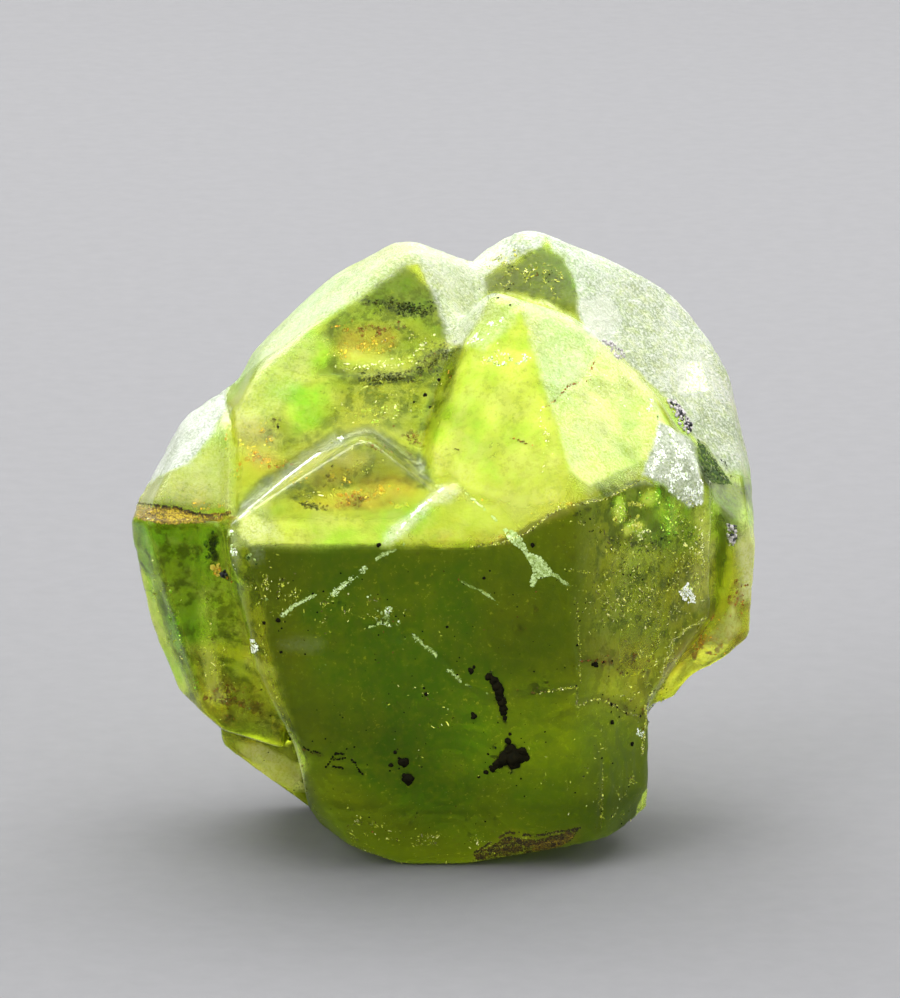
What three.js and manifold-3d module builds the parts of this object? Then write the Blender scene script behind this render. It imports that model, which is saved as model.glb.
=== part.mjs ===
// A cluster of intergrown peridot (gem olivine) crystals, broken off the rock it grew on.
// Millimetres, +Z up, the side that shows the crystals' fronts faces -Y.
// The origin is the middle of the bounding box's foot, on the surface that the cluster stands on.
import * as THREE from "three";
import { mergeVertices } from "three/addons/utils/BufferGeometryUtils.js";
import Module from "manifold-3d";

const wasm = await Module();
wasm.setup();

// Driving dimensions
const SEAT_Z = 0; // the broken foot that the cluster rests on
const GROWN_TOP_Z = 26; // above every crystal tip, so that growth faces alone end the crystals
const BLOCK = 80; // side of the block that stands for one side of a face
const WELD = 1e-5; // corners closer than this are one corner
const DEG = Math.PI / 180;
const COLOUR = 0x9fc416; // yellow-green
const ROUGHNESS = 0.25;

// A three.js geometry as a solid.
function solidOf(geometry) {
  const bare = geometry.clone();
  bare.deleteAttribute("normal");
  bare.deleteAttribute("uv");
  const welded = mergeVertices(bare, WELD);
  const mesh = new wasm.Mesh({
    numProp: 3,
    vertProperties: new Float32Array(welded.attributes.position.array),
    triVerts: new Uint32Array(welded.index.array),
  });
  return new wasm.Manifold(mesh);
}

// The way out of a face. Bearing 0 faces the viewer at -Y and 90 faces right.
// Dip 0 is level and looks up, 90 is upright, and more than 90 overhangs.
function normalOf(bearing, dip) {
  return new THREE.Vector3(
    Math.sin(bearing * DEG) * Math.sin(dip * DEG),
    -Math.cos(bearing * DEG) * Math.sin(dip * DEG),
    Math.cos(dip * DEG),
  );
}

// Everything on the outer side of a face that runs through the point x, y, z.
function beyond([bearing, dip, x, y, z]) {
  const normal = normalOf(bearing, dip);
  const block = new THREE.BoxGeometry(BLOCK, BLOCK, BLOCK);
  const turn = new THREE.Quaternion().setFromUnitVectors(new THREE.Vector3(0, 0, 1), normal);
  block.applyQuaternion(turn);
  const centre = new THREE.Vector3(x, y, z).addScaledVector(normal, BLOCK / 2);
  block.translate(centre.x, centre.y, centre.z);
  return solidOf(block);
}

// One crystal: an upright block, cut along each of its growth faces and fractures.
function crystal({ left, right, front, back, low = SEAT_Z, high = GROWN_TOP_Z, faces }) {
  const block = new THREE.BoxGeometry(right - left, back - front, high - low);
  block.translate((left + right) / 2, (front + back) / 2, (low + high) / 2);
  return faces.reduce((solid, face) => solid.subtract(beyond(face)), solidOf(block));
}

// Each face is [bearing, dip, x, y, z].
const crystals = {
  // tall crystal at the back left: clear front dome, etched slopes to both sides
  rearLeft: {
    left: -8.8,
    right: 2.6,
    front: -6.2,
    back: 7.6,
    low: 11,
    faces: [
      [0, 50, -2.05, 2.6, 22.95],
      [-85, 35, -4.26, 1.44, 21.67],
      [-98, 43, -7.8, -0.2, 19.6],
      [-90, 62, -8.1, 5, 18.4],
      [65, 55, -0.55, 1.9, 22.2],
      [90, 26, -1.2, 2.6, 23.4],
      [0, 0, 0, 0, 23.4],
      [180, 48, -2, 5.7, 23.3],
      [-90, 99, -8.8, 0, 14],
      [-138, 93, -7.6, 5.6, 14],
      [142, 91, 0.6, 7.2, 14],
      [180, 98, 0, 7.6, 14],
    ],
  },
  // tallest crystal, behind and to the right, with a broad etched slope
  rearRight: {
    left: -0.6,
    right: 12.5,
    front: 0.4,
    back: 9,
    low: 3.5,
    faces: [
      [-5, 50, 4.0, 5.6, 22.85],
      [-80, 41, 2.6, 6.3, 23.1],
      [55, 50, 5.0, 5.6, 22.75],
      [90, 27, 4.2, 6, 23.25],
      [90, 57, 9.6, 6, 20.5],
      [84, 76, 11.4, 6, 17.8],
      [75, 72, 10.7, 3, 18.6],
      [0, 0, 0, 0, 23.45],
      [180, 50, 4, 7.6, 23.4],
      [90, 93, 12.5, 0, 11],
      [90, 149, 12.3, 0, 7.75],
      [180, 102, 0, 9, 13],
      [180, 125, 0, 7.8, 7],
      [138, 96, 11.4, 7.6, 13],
      [-142, 92, 1.4, 8.2, 14],
      [42, 92, 12.2, 1.0, 12],
    ],
  },
  // middle crystal, a chisel tip whose ridge runs down its front
  centre: {
    left: -1.2,
    right: 10.6,
    front: -7,
    back: 5,
    low: 11,
    faces: [
      [-22, 54, 2.77, -0.9, 22.0],
      [42, 47, 2.77, -0.9, 22.0],
      [-78, 63, 1.15, -0.9, 21.2],
      [80, 24, 2.9, -0.5, 22.05],
      [90, 42, 5.4, 0, 20.9],
      [90, 58, 9.0, 0, 17.2],
      [50, 72, 8.19, -3.57, 15.99],
      [180, 50, 2.77, 0.8, 22.2],
      [130, 66, 8.6, 1.6, 16.6],
      [46, 90, 6.6, -5.5, 14],
    ],
  },
  // low crystal at the front left, with a gentle roof
  frontLeft: {
    left: -8.6,
    right: 1.4,
    front: -7,
    back: 1,
    low: 12,
    faces: [
      [0, 49, -3.3, -3.9, 17.15],
      [-90, 29, -3.6, -3.9, 17.15],
      [90, 34, -2.8, -3.9, 17.15],
      [0, 0, 0, 0, 17.25],
      [-90, 100, -8.6, 0, 13.6],
      [-50, 97, -8.3, -7, 13],
    ],
  },
  // small crystal in front of the middle one
  frontCentre: {
    left: -2.7,
    right: 1.9,
    front: -7,
    back: -3,
    low: 11,
    faces: [
      [0, 50, 0.36, -5.4, 15.75],
      [-90, 33, 0.36, -5.4, 15.75],
      [90, 40, 0.4, -5.4, 15.75],
      [60, 88, 1.7, -7.0, 13],
    ],
  },
  // shoulder at the far left, above a cracked ledge
  leftShoulder: {
    left: -12.5,
    right: -8,
    front: -3.5,
    back: 5.6,
    low: 12.5,
    faces: [
      [0, 50, -10, -3.5, 14.75],
      [-86, 36, -11.3, -3, 15.6],
      [-90, 60, -10.9, 0, 15.9],
      [-90, 74, -12.35, 0, 13.4],
      [-90, 101, -12.5, 0, 13],
      [-168, 56, -9, 3.6, 18.0],
      [-128, 96, -12.3, 2.6, 13],
      [-60, 104, -11.6, -4.1, 13],
    ],
  },
  // the broken flank below the ledge
  leftFlank: {
    left: -12.5,
    right: -6.4,
    front: -4.1,
    back: 6.2,
    low: 3.6,
    high: 14.2,
    faces: [
      [-90, 101, -12.5, 0, 13],
      [-90, 112, -11.3, 0, 8],
      [180, 6, 0, -4.1, 14.1],
      [-128, 96, -12.3, 2.6, 13],
      [-165, 96, -9, 5.6, 12],
      [-60, 104, -11.6, -4.1, 13],
      [-75, 139, -10.1, -3, 6.2],
      [-60, 158, -9.4, -3, 5.4],
      [180, 135, 0, 5.2, 6],
    ],
  },
  // the body that the crystals share, ended in front by one flat fracture
  trunk: {
    left: -8.6,
    right: 10.6,
    front: -7,
    back: 7,
    low: 3.2,
    high: 13.4,
    faces: [
      [-90, 100, -8.6, 0, 13.6],
      [-50, 97, -8.3, -7, 13],
      [-90, 120, -7.3, 0, 7.6],
      [46, 90, 6.6, -5.5, 14],
      [75, 122, 10.7, -1.25, 9.6],
      [0, 101, 0, -7, 5.8],
      [-138, 99, -7.7, 5.4, 12.6],
      [140, 104, 9.2, 5.6, 11],
      [180, 99, 0, 7, 12],
      [180, 126, 0, 6.2, 6.5],
    ],
  },
  // the narrow broken end that the cluster stands on
  foot: {
    left: -6.0,
    right: 8.1,
    front: -7,
    back: 5.6,
    high: 8,
    faces: [
      [-90, 99, -6.0, 0, 5.4],
      [-62, 112, -5.6, -6.6, 4],
      [-70, 134, -5.0, -6.2, 2.4],
      [-62, 157, -3.3, -5.9, 0.8],
      [0, 101, 0, -7, 5.8],
      [0, 116, 0, -6.45, 2.9],
      [-145, 118, -4.4, 4.6, 4],
      [140, 124, 6.6, 4.2, 5],
      [46, 90, 6.6, -5.5, 14],
      [60, 115, 8.1, -4, 3.2],
      [75, 146, 7.2, -5, 1.6],
      [75, 169, 6.8, -5, 1.15],
      [176, 114, 0, 5.6, 4],
    ],
  },
  // broken lump under the tallest crystal
  rightLump: {
    left: 5,
    right: 11.3,
    front: 0.6,
    back: 6,
    low: 3.6,
    high: 9,
    faces: [
      [90, 111, 11.14, 0, 6.98],
      [90, 159, 10.74, 0, 5.94],
      [90, 123, 9.31, 0, 5.39],
      [40, 100, 10.4, 0.6, 7],
      [140, 106, 9.8, 5.6, 7],
      [180, 112, 0, 6, 7],
    ],
  },
  // lower rear corner, seen under the left flank
  rearFoot: {
    left: -9.4,
    right: -1,
    front: 1,
    back: 6.8,
    high: 8,
    faces: [
      [-88, 143, -9.14, 1, 3.34],
      [-90, 97, -9.4, 4, 5.6],
      [-170, 116, -4, 6.6, 5],
      [-128, 104, -8.9, 4.6, 5],
    ],
  },
};

const joined = Object.values(crystals)
  .map(crystal)
  .reduce((all, one) => all.add(one));
const box = joined.boundingBox();
const cluster = joined.translate([
  -(box.min[0] + box.max[0]) / 2,
  -(box.min[1] + box.max[1]) / 2,
  -box.min[2],
]);

const surface = cluster.getMesh();
const geometry = new THREE.BufferGeometry();
geometry.setAttribute("position", new THREE.BufferAttribute(surface.vertProperties, 3));
geometry.setIndex(new THREE.BufferAttribute(surface.triVerts, 1));
geometry.computeVertexNormals();

const peridot = new THREE.MeshStandardMaterial({ color: COLOUR, roughness: ROUGHNESS, metalness: 0 });
const body = new THREE.Mesh(geometry, peridot);
body.name = "peridot_crystal_cluster";

const part = new THREE.Group();
part.name = "peridot_crystal";
part.add(body);

export default part;
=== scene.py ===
import math

import bmesh
import bpy
import numpy as np
import openvdb
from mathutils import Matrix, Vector
from mathutils.bvhtree import BVHTree


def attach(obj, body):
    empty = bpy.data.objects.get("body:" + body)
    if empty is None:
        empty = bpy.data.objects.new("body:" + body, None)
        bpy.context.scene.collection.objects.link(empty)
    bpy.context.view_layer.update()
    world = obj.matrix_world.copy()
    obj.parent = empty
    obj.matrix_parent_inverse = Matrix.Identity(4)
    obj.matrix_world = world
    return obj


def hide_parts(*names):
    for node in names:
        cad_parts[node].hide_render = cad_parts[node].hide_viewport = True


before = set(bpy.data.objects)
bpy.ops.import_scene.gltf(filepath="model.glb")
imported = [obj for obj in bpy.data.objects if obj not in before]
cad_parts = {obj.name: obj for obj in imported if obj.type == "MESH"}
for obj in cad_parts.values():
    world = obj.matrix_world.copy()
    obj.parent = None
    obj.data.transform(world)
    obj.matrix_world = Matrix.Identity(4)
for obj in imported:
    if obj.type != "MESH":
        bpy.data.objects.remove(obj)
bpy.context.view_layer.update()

MM = 0.001  # one millimetre, in metres
NODE = "peridot_crystal_cluster"
IOR = 1.67  # peridot

# The picture's frame, and the camera that sees the cluster as the picture does
PICTURE_W, PICTURE_H = 900, 998
CAMERA_FAR = 300.0
CAMERA_UP = math.radians(14.0)
CAMERA_AIM = np.array([0.16, -1.0, 13.9])
PIXELS_PER_MM = 24.9
SENSOR = 36.0
LENS = PIXELS_PER_MM * CAMERA_FAR * SENSOR / PICTURE_W

LOOK = np.array([0.0, math.cos(CAMERA_UP), -math.sin(CAMERA_UP)])
RIGHT = np.array([1.0, 0.0, 0.0])
UP = np.array([0.0, math.sin(CAMERA_UP), math.cos(CAMERA_UP)])
EYE = CAMERA_AIM - LOOK * CAMERA_FAR


def to_picture(points):
    """Where points, in millimetres, show in the picture, in pixels from its top left."""
    rel = points - EYE
    scale = PIXELS_PER_MM * CAMERA_FAR / (rel @ LOOK)
    return np.stack([PICTURE_W / 2 + scale * (rel @ RIGHT), PICTURE_H / 2 - scale * (rel @ UP)], axis=-1)


def sight_line(px, py):
    """The unit direction from the eye through a pixel of the picture."""
    scale = PIXELS_PER_MM * CAMERA_FAR
    way = LOOK + RIGHT * (px - PICTURE_W / 2) / scale - UP * (py - PICTURE_H / 2) / scale
    return way / np.linalg.norm(way)


# Seeded noise, at points in millimetres


def lattice(cells, seed):
    """A fixed random number from 0 to 1 for each whole-numbered cell."""
    c = cells.astype(np.int64)
    h = c[..., 0] * 374761393 + c[..., 1] * 668265263 + c[..., 2] * 2147483647 + seed * 974634777
    h = (h ^ (h >> 13)) * 1274126177
    h = h ^ (h >> 16)
    return ((h & 0xFFFFFF) / float(0xFFFFFF)).astype(np.float64)


def value_noise(points, size, seed):
    """Smooth noise from -1 to 1 whose features are about size across."""
    p = points / size
    base = np.floor(p)
    t = p - base
    t = t * t * t * (t * (t * 6 - 15) + 10)
    total = np.zeros(len(points))
    for corner in np.ndindex(2, 2, 2):
        weight = np.prod(np.where(corner, t, 1 - t), axis=1)
        total += weight * lattice(base + corner, seed)
    return total * 2 - 1


def layered_noise(points, size, seed, octaves=3):
    """Noise of several sizes, each half as large and half as strong as the last."""
    total, strength, scale = np.zeros(len(points)), 1.0, size
    for octave in range(octaves):
        total += strength * value_noise(points, scale, seed + octave)
        strength, scale = strength / 2, scale / 2
    return total / (2 - 2 ** (1 - octaves))


def cell_noise(points, size, seed):
    """Distance to the nearest of one random point per cell, in cells."""
    p = points / size
    nearest = np.full(len(points), np.inf)
    for step in np.ndindex(3, 3, 3):
        cell = np.floor(p) + np.array(step) - 1
        spot = cell + np.stack([lattice(cell, seed + axis) for axis in (1, 2, 3)], axis=-1)
        nearest = np.minimum(nearest, np.linalg.norm(p - spot, axis=1))
    return nearest


def ramp(low, high, value):
    """0 below low, 1 above high, smooth between."""
    t = np.clip((value - low) / (high - low), 0, 1)
    return t * t * (3 - 2 * t)


# The body: the CAD solid with its edges softened as on a natural crystal

VOXEL = 0.155
BAND = 12  # voxels on either side of the skin that hold a distance
PAD = 10  # voxels of margin kept round the grid


def cad_triangles(ob):
    """The points and triangles of one of the CAD's objects."""
    mesh = ob.data
    mesh.calc_loop_triangles()
    places = np.empty(len(mesh.vertices) * 3, dtype=np.float32)
    mesh.vertices.foreach_get("co", places)
    corners = np.empty(len(mesh.loop_triangles) * 3, dtype=np.int32)
    mesh.loop_triangles.foreach_get("vertices", corners)
    return places.reshape(-1, 3) / MM, corners.reshape(-1, 3).astype(np.uint32)


def blurred(grid, sigma):
    """A 3-D array blurred along each axis by a bell curve that is sigma voxels wide."""
    reach = int(math.ceil(sigma * 3))
    taps = np.exp(-0.5 * (np.arange(-reach, reach + 1) / sigma) ** 2)
    taps = (taps / taps.sum()).astype(np.float32)
    for axis in range(3):
        padded = np.pad(grid, [(reach, reach) if a == axis else (0, 0) for a in range(3)], mode="edge")
        out = np.zeros_like(grid)
        for k, weight in enumerate(taps):
            window = [slice(None)] * 3
            window[axis] = slice(k, k + grid.shape[axis])
            out += weight * padded[tuple(window)]
        grid = out
    return grid


cad_points, cad_tris = cad_triangles(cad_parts[NODE])
placing = openvdb.createLinearTransform(voxelSize=VOXEL)
level_set = openvdb.FloatGrid.createLevelSetFromPolygons(
    cad_points, triangles=cad_tris, transform=placing, halfWidth=float(BAND)
)
low, high = level_set.evalActiveVoxelBoundingBox()
low = [v - PAD for v in low]
shape = [top + PAD - bottom + 1 for bottom, top in zip(low, high)]
distance = np.zeros(shape, dtype=np.float32)
level_set.copyToArray(distance, ijk=low)

SHARP = 0.8  # voxels of blur at broken edges
SOFT = 2.4  # voxels of blur at etched, rounded edges
SOFTEST = 4.0  # voxels of blur on the broken front face
GROWN_FROM, GROWN_UP = 12.0, 13.6  # between these heights, in millimetres, breaks give way to grown faces

# The edges are rounder high up, above all behind, and roundest on the broken front face
sharp, soft, softest = blurred(distance, SHARP), blurred(distance, SOFT), blurred(distance, SOFTEST)
grid_y, grid_z = ((np.arange(shape[axis], dtype=np.float32) + low[axis]) * VOXEL for axis in (1, 2))
high_up = ramp(14.0, 16.5, grid_z)[None, None, :]
behind = ramp(-5.5, -3.5, grid_y)[None, :, None]
rounded = sharp + (soft - sharp) * high_up * (0.3 + 0.7 * behind)
low_front = ramp(12.8, 11.8, grid_z)[None, None, :] * ramp(-5.0, -7.0, grid_y)[None, :, None]
rounded = (rounded + (softest - rounded) * low_front).astype(np.float32)

rounded_set = openvdb.FloatGrid(VOXEL * BAND)
rounded_set.transform = placing
rounded_set.copyFromArray(rounded, ijk=low)
points, _, quads = rounded_set.convertToPolygons(isovalue=0.0, adaptivity=0.0)
points = points.astype(np.float64)
quads = quads[:, ::-1]


def new_mesh(name, points_mm, faces, smooth=True):
    """A mesh object whose points are given in millimetres."""
    mesh = bpy.data.meshes.new(name)
    mesh.from_pydata((np.asarray(points_mm) * MM).tolist(), [], np.asarray(faces).tolist())
    mesh.validate()
    if smooth:
        mesh.shade_smooth()
    ob = bpy.data.objects.new(name, mesh)
    bpy.context.scene.collection.objects.link(ob)
    return ob


def sums(at, vectors, count):
    """The sum, for each of count points, of the vectors whose entry in at names it."""
    return np.column_stack([np.bincount(at, weights=column, minlength=count) for column in vectors.T])


def vertex_normals(pts, faces):
    """The mean way out at each point of a mesh of quads."""
    a, b, c, d = (pts[faces[:, k]] for k in range(4))
    total = sum(sums(faces[:, k], np.cross(c - a, d - b), len(pts)) for k in range(4))
    return total / np.maximum(np.linalg.norm(total, axis=1, keepdims=True), 1e-9)


def from_neighbours(values):
    """Each point's mean of its neighbours' values."""
    total, count = np.zeros_like(values), np.zeros(len(points))
    for k in range(4):
        ends = quads[:, k], quads[:, (k + 1) % 4]
        for here, there in (ends, ends[::-1]):
            count += np.bincount(here, minlength=len(points))
            total += sums(here, values[there], len(points))
    return total / count[:, None]


normals = vertex_normals(points, quads)
centre = points.mean(axis=0)
if ((points - centre) * normals).sum() < 0:
    quads = quads[:, ::-1]
    normals = -normals

# Which points the viewer sees

skin_tree = BVHTree.FromPolygons(points.tolist(), quads.tolist())
HIDDEN_BY = 0.5  # a point this many millimetres behind the first thing in its line of sight is hidden
GRAZING = 0.15  # how far the way out at a point may lean away from the eye while the point still shows


def in_view(pts, ways_out):
    """True for each point that shows from the camera."""
    result = np.zeros(len(pts), dtype=bool)
    rel = pts - EYE
    far = np.linalg.norm(rel, axis=1)
    eye = Vector(EYE)
    for k in np.nonzero(ways_out @ LOOK < GRAZING)[0]:
        hit = skin_tree.ray_cast(eye, Vector(rel[k]))
        result[k] = hit[0] is None or hit[3] > far[k] - HIDDEN_BY
    return result


visible = in_view(points, normals)
seen = to_picture(points)


def gaps_to(pixels, line, closed=False):
    """For each stretch of a line in the picture: its start and end, and the way from it to each pixel."""
    corners = np.array(line, dtype=float)
    ends = np.roll(corners, -1, axis=0) if closed else corners[1:]
    for a, b in zip(corners, ends):
        edge = b - a
        t = np.clip(((pixels - a) @ edge) / (edge @ edge), 0, 1)
        yield a, b, pixels - a - t[:, None] * edge


def inside(pixels, outline, feather):
    """0 outside an outline drawn in the picture, 1 inside it, with an edge feather pixels wide."""
    nearest = np.full(len(pixels), np.inf)
    within = np.zeros(len(pixels), dtype=bool)
    for a, b, away in gaps_to(pixels, outline, closed=True):
        nearest = np.minimum(nearest, np.linalg.norm(away, axis=1))
        crosses = (a[1] > pixels[:, 1]) != (b[1] > pixels[:, 1])
        slope = (b[0] - a[0]) / ((b[1] - a[1]) or 1e-9)
        within ^= crosses & (pixels[:, 0] < a[0] + (pixels[:, 1] - a[1]) * slope)
    return ramp(-feather / 2, feather / 2, np.where(within, nearest, -nearest))


def leant(across, down, degrees):
    """Offsets across and down the picture, turned by some degrees."""
    turn = math.radians(degrees)
    return np.column_stack([
        across * math.cos(turn) - down * math.sin(turn),
        across * math.sin(turn) + down * math.cos(turn),
    ])


def oval(x, y, across, down, lean=0):
    """The outline of an oval: its middle, reach either way and lean in degrees."""
    turn = np.arange(10) * math.pi / 5
    return leant(across * np.cos(turn), down * np.sin(turn), lean) + (x, y)


def near_line(pixels, line, width):
    """1 on a line drawn in the picture, falling to 0 at half of width to its side."""
    nearest = np.min([np.linalg.norm(away, axis=1) for _, _, away in gaps_to(pixels, line)], axis=0)
    return ramp(width / 2, 0.0, nearest)


LIP_EDGE = 2.5  # pixels over which a lip drops, on either side of its line
LIP_END = 14  # pixels over which a lip dies out towards its ends


def below_lip(pixels, line, fade):
    """1 just to the right of a line drawn in the picture, falling over fade pixels, and 0 to its left."""
    nearest, side = np.full(len(pixels), np.inf), np.ones(len(pixels))
    for a, b, away in gaps_to(pixels, line):
        gap = np.linalg.norm(away, axis=1)
        turn = np.sign((b - a)[0] * away[:, 1] - (b - a)[1] * away[:, 0])
        side = np.where(gap < nearest, turn, side)
        nearest = np.minimum(gap, nearest)
    lip = ramp(-LIP_EDGE, LIP_EDGE, nearest * side) * np.exp(-nearest / fade)
    for end in (line[0], line[-1]):
        lip *= ramp(0, LIP_END, np.linalg.norm(pixels - end, axis=1))
    return lip


# Outlines in the picture that several of the layers below share
LEFT_PANE = [(232, 392), (262, 364), (307, 334), (314, 347), (311, 375), (281, 407), (253, 436), (236, 440)]
REAR_RIGHT_PANE = [
    (484, 277), (524, 257), (542, 249), (566, 255), (578, 306), (530, 294), (510, 291), (486, 296),
]
MIDDLE_RIGHT_FACE = [
    (521, 299), (543, 300), (600, 336), (640, 372), (664, 420), (650, 457), (620, 472), (590, 485),
    (570, 470), (548, 400), (531, 350),
]
MIDDLE_TIP_FACET = [(464, 346), (484, 308), (500, 290), (529, 298), (512, 324), (486, 352)]
WHITE_FACET = [(660, 424), (688, 436), (703, 480), (703, 502), (689, 508), (667, 490), (644, 474)]
GROOVE = [(697, 440), (706, 446), (732, 482), (722, 486), (702, 484), (696, 462)]
DARK_BAND = [(330, 376), (410, 376), (437, 352), (462, 347), (458, 363), (420, 384), (360, 385)]
ROOF_RIM = [
    (228, 514), (258, 483), (290, 457), (334, 432), (366, 425), (384, 432), (406, 446), (424, 457),
    (432, 483), (423, 486), (414, 466), (398, 456), (378, 443), (362, 438), (338, 446), (296, 470),
    (262, 494), (240, 515),
]
SMALL_LEFT_EDGE = [
    (442, 486), (460, 490), (451, 502), (433, 506), (421, 520), (403, 538), (389, 547), (380, 547),
    (392, 526), (415, 510),
]
FAR_LEFT_RIM = [(138, 562), (154, 584), (168, 640), (190, 692), (181, 700), (156, 650), (142, 606)]
LEFT_STREAK = [(196, 596), (206, 596), (216, 650), (224, 700), (208, 700), (202, 650)]
# bright flaws under the front face's top right, painted as a glow
LIME_FLAWS_GLOWING = [oval(620, 508, 7.5, 13.5, 8), oval(651, 498, 9.5, 8.5), oval(634, 528, 11.5, 6.5, -15)]

# Layers of regions over the skin. Each region is a value, the feather of its edge in pixels, and its outline.

# How etched and pale the skin is; values above 1 are painted highlight, whiter still
FROSTED_AND_HIGHLIT = [
    # the shoulder's slope, whitened past full frost with painted highlight, fading towards its foot
    (1.15, 7, [(232, 366), (190, 386), (150, 430), (122, 482), (134, 496), (156, 480), (188, 465),
        (211, 438), (224, 412)]),
    (0.25, 8, [(224, 412), (211, 438), (188, 465), (156, 480), (134, 496), (138, 506), (180, 508),
        (232, 508), (232, 470)]),
    # the rear left crystal's slope to the left, and its right face
    (0.62, 8, [(214, 386), (244, 326), (330, 252), (400, 226), (428, 236), (420, 262), (401, 269),
        (376, 286), (335, 311), (308, 329), (286, 345), (262, 362), (236, 384)]),
    (0.18, 14, LEFT_PANE),
    (0.8, 6, [(408, 236), (446, 240), (490, 284), (485, 318), (464, 347), (447, 341), (432, 292),
        (418, 262)]),
    # the rear right crystal's rim, broad slope and flank
    (0.95, 5, [(464, 266), (480, 236), (520, 218), (552, 224), (541, 248), (516, 255), (483, 277)]),
    (0.95, 5, [(541, 220), (580, 236), (640, 268), (694, 292), (730, 336), (748, 380), (766, 470),
        (752, 486), (716, 472), (691, 432), (671, 400), (652, 387), (627, 360), (597, 337), (578, 306),
        (575, 285), (566, 262), (552, 250)]),
    # the middle crystal's right face, its lower right facet and the rim by its tip; values above 1 are
    # painted highlight
    (0.32, 5, MIDDLE_RIGHT_FACE),
    (0.5, 10, [(524, 300), (545, 302), (596, 336), (600, 352), (584, 378), (550, 402), (536, 350)]),
    (0.25, 20, [(600, 400), (650, 400), (664, 430), (640, 480), (590, 490), (575, 470), (620, 450)]),
    (1.15, 5, WHITE_FACET), (0.35, 8, MIDDLE_TIP_FACET),
    (1.5, 3, [(677, 361), (702, 363), (709, 391), (679, 394)]),
    (1.3, 8, [(578, 300), (610, 290), (622, 318), (606, 344), (584, 330)]),
    # the front left crystal's bevel and foot
    (0.3, 5, [(233, 512), (260, 485), (292, 460), (335, 435), (345, 444), (319, 455), (256, 505),
        (240, 522)]),
    (0.3, 16, [(236, 512), (256, 505), (268, 512), (280, 540), (236, 545)]),
    # the broken patches of the front face
    (0.1, 14, oval(302, 645, 22, 6)), (0.4, 5, oval(234, 550, 3, 22, -5)), (0.2, 8, oval(255, 556, 8, 10)),
    # the rear right crystal's clear front and its foot
    (0.12, 8, REAR_RIGHT_PANE), (0.12, 20, [(706, 470), (760, 476), (762, 530), (735, 545), (708, 500)]),
    (0.0, 5, GROOVE), (0.2, 10, [(738, 520), (766, 520), (766, 600), (740, 600)]),
    # the small front crystal's left edge
    (0.5, 6, SMALL_LEFT_EDGE),
]
# How dark and olive the crystal is behind the skin: partly its own olive, partly painted shade
SHADED = [
    (1.0, 3, [(228, 516), (250, 545), (380, 547), (470, 549), (492, 545), (520, 528), (560, 508),
        (604, 494), (640, 478), (668, 492), (690, 510), (712, 505), (730, 540), (716, 616), (650, 700),
        (650, 790), (622, 836), (560, 862), (440, 880), (330, 850), (296, 800), (270, 700), (240, 600)]),
    (0.52, 6, [(120, 520), (236, 518), (262, 600), (276, 690), (300, 745), (240, 745), (180, 715),
        (120, 600)]),
    (0.2, 8, FAR_LEFT_RIM), (0.3, 10, LEFT_STREAK),
    (0.8, 8, [(403, 264), (436, 290), (448, 333), (440, 352), (410, 376), (317, 376), (313, 345),
        (333, 318)]),
    (0.45, 20, [(317, 378), (410, 378), (440, 352), (462, 350), (446, 420), (425, 440), (365, 425),
        (335, 432), (290, 455), (250, 440), (285, 400)]),
    (0.55, 18, [(350, 306), (400, 300), (432, 310), (438, 340), (400, 356), (345, 350), (335, 325)]),
    (0.2, 14, [(322, 350), (350, 368), (405, 370), (434, 346), (446, 340), (400, 356), (352, 340)]),
    (0.45, 5, DARK_BAND), (0.55, 10, [(410, 374), (437, 349), (462, 346), (446, 396), (420, 392)]),
    (0.65, 10, [(345, 446), (380, 442), (420, 470), (426, 490), (380, 480), (300, 500), (270, 500)]),
    (0.8, 4, [(688, 440), (700, 452), (716, 470), (730, 484), (716, 486), (704, 484)]),
    (0.66, 50, [(600, 480), (700, 500), (716, 540), (690, 640), (650, 700), (600, 700), (590, 560)]),
    (0.85, 12, oval(634, 518, 32, 22, -10)), (0.4, 16, oval(676, 518, 16, 22)),
    *[(0.05, 8, glowing_flaw) for glowing_flaw in LIME_FLAWS_GLOWING], (0.5, 16, oval(640, 560, 30, 12, 10)),
    (0.7, 10, [(706, 478), (750, 486), (753, 530), (735, 545), (708, 500)]),
    (0.1, 20, oval(306, 404, 22, 22)), (0.05, 14, oval(320, 350, 10, 16)),
    (0.15, 12, oval(270, 762, 40, 30)),
    (0.35, 12, [(664, 664), (700, 655), (748, 600), (740, 650), (700, 690), (662, 706)]),
    (0.8, 12, [(640, 700), (658, 668), (692, 658), (706, 664), (694, 686), (664, 708), (646, 726)]),
    (0.85, 10, [(480, 278), (524, 256), (542, 249), (566, 256), (580, 306), (582, 320), (545, 300),
        (510, 291), (486, 296)]),
    (0.4, 6, ROOF_RIM), (0.45, 8, [(690, 520), (716, 512), (718, 600), (696, 600)]),
]
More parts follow.
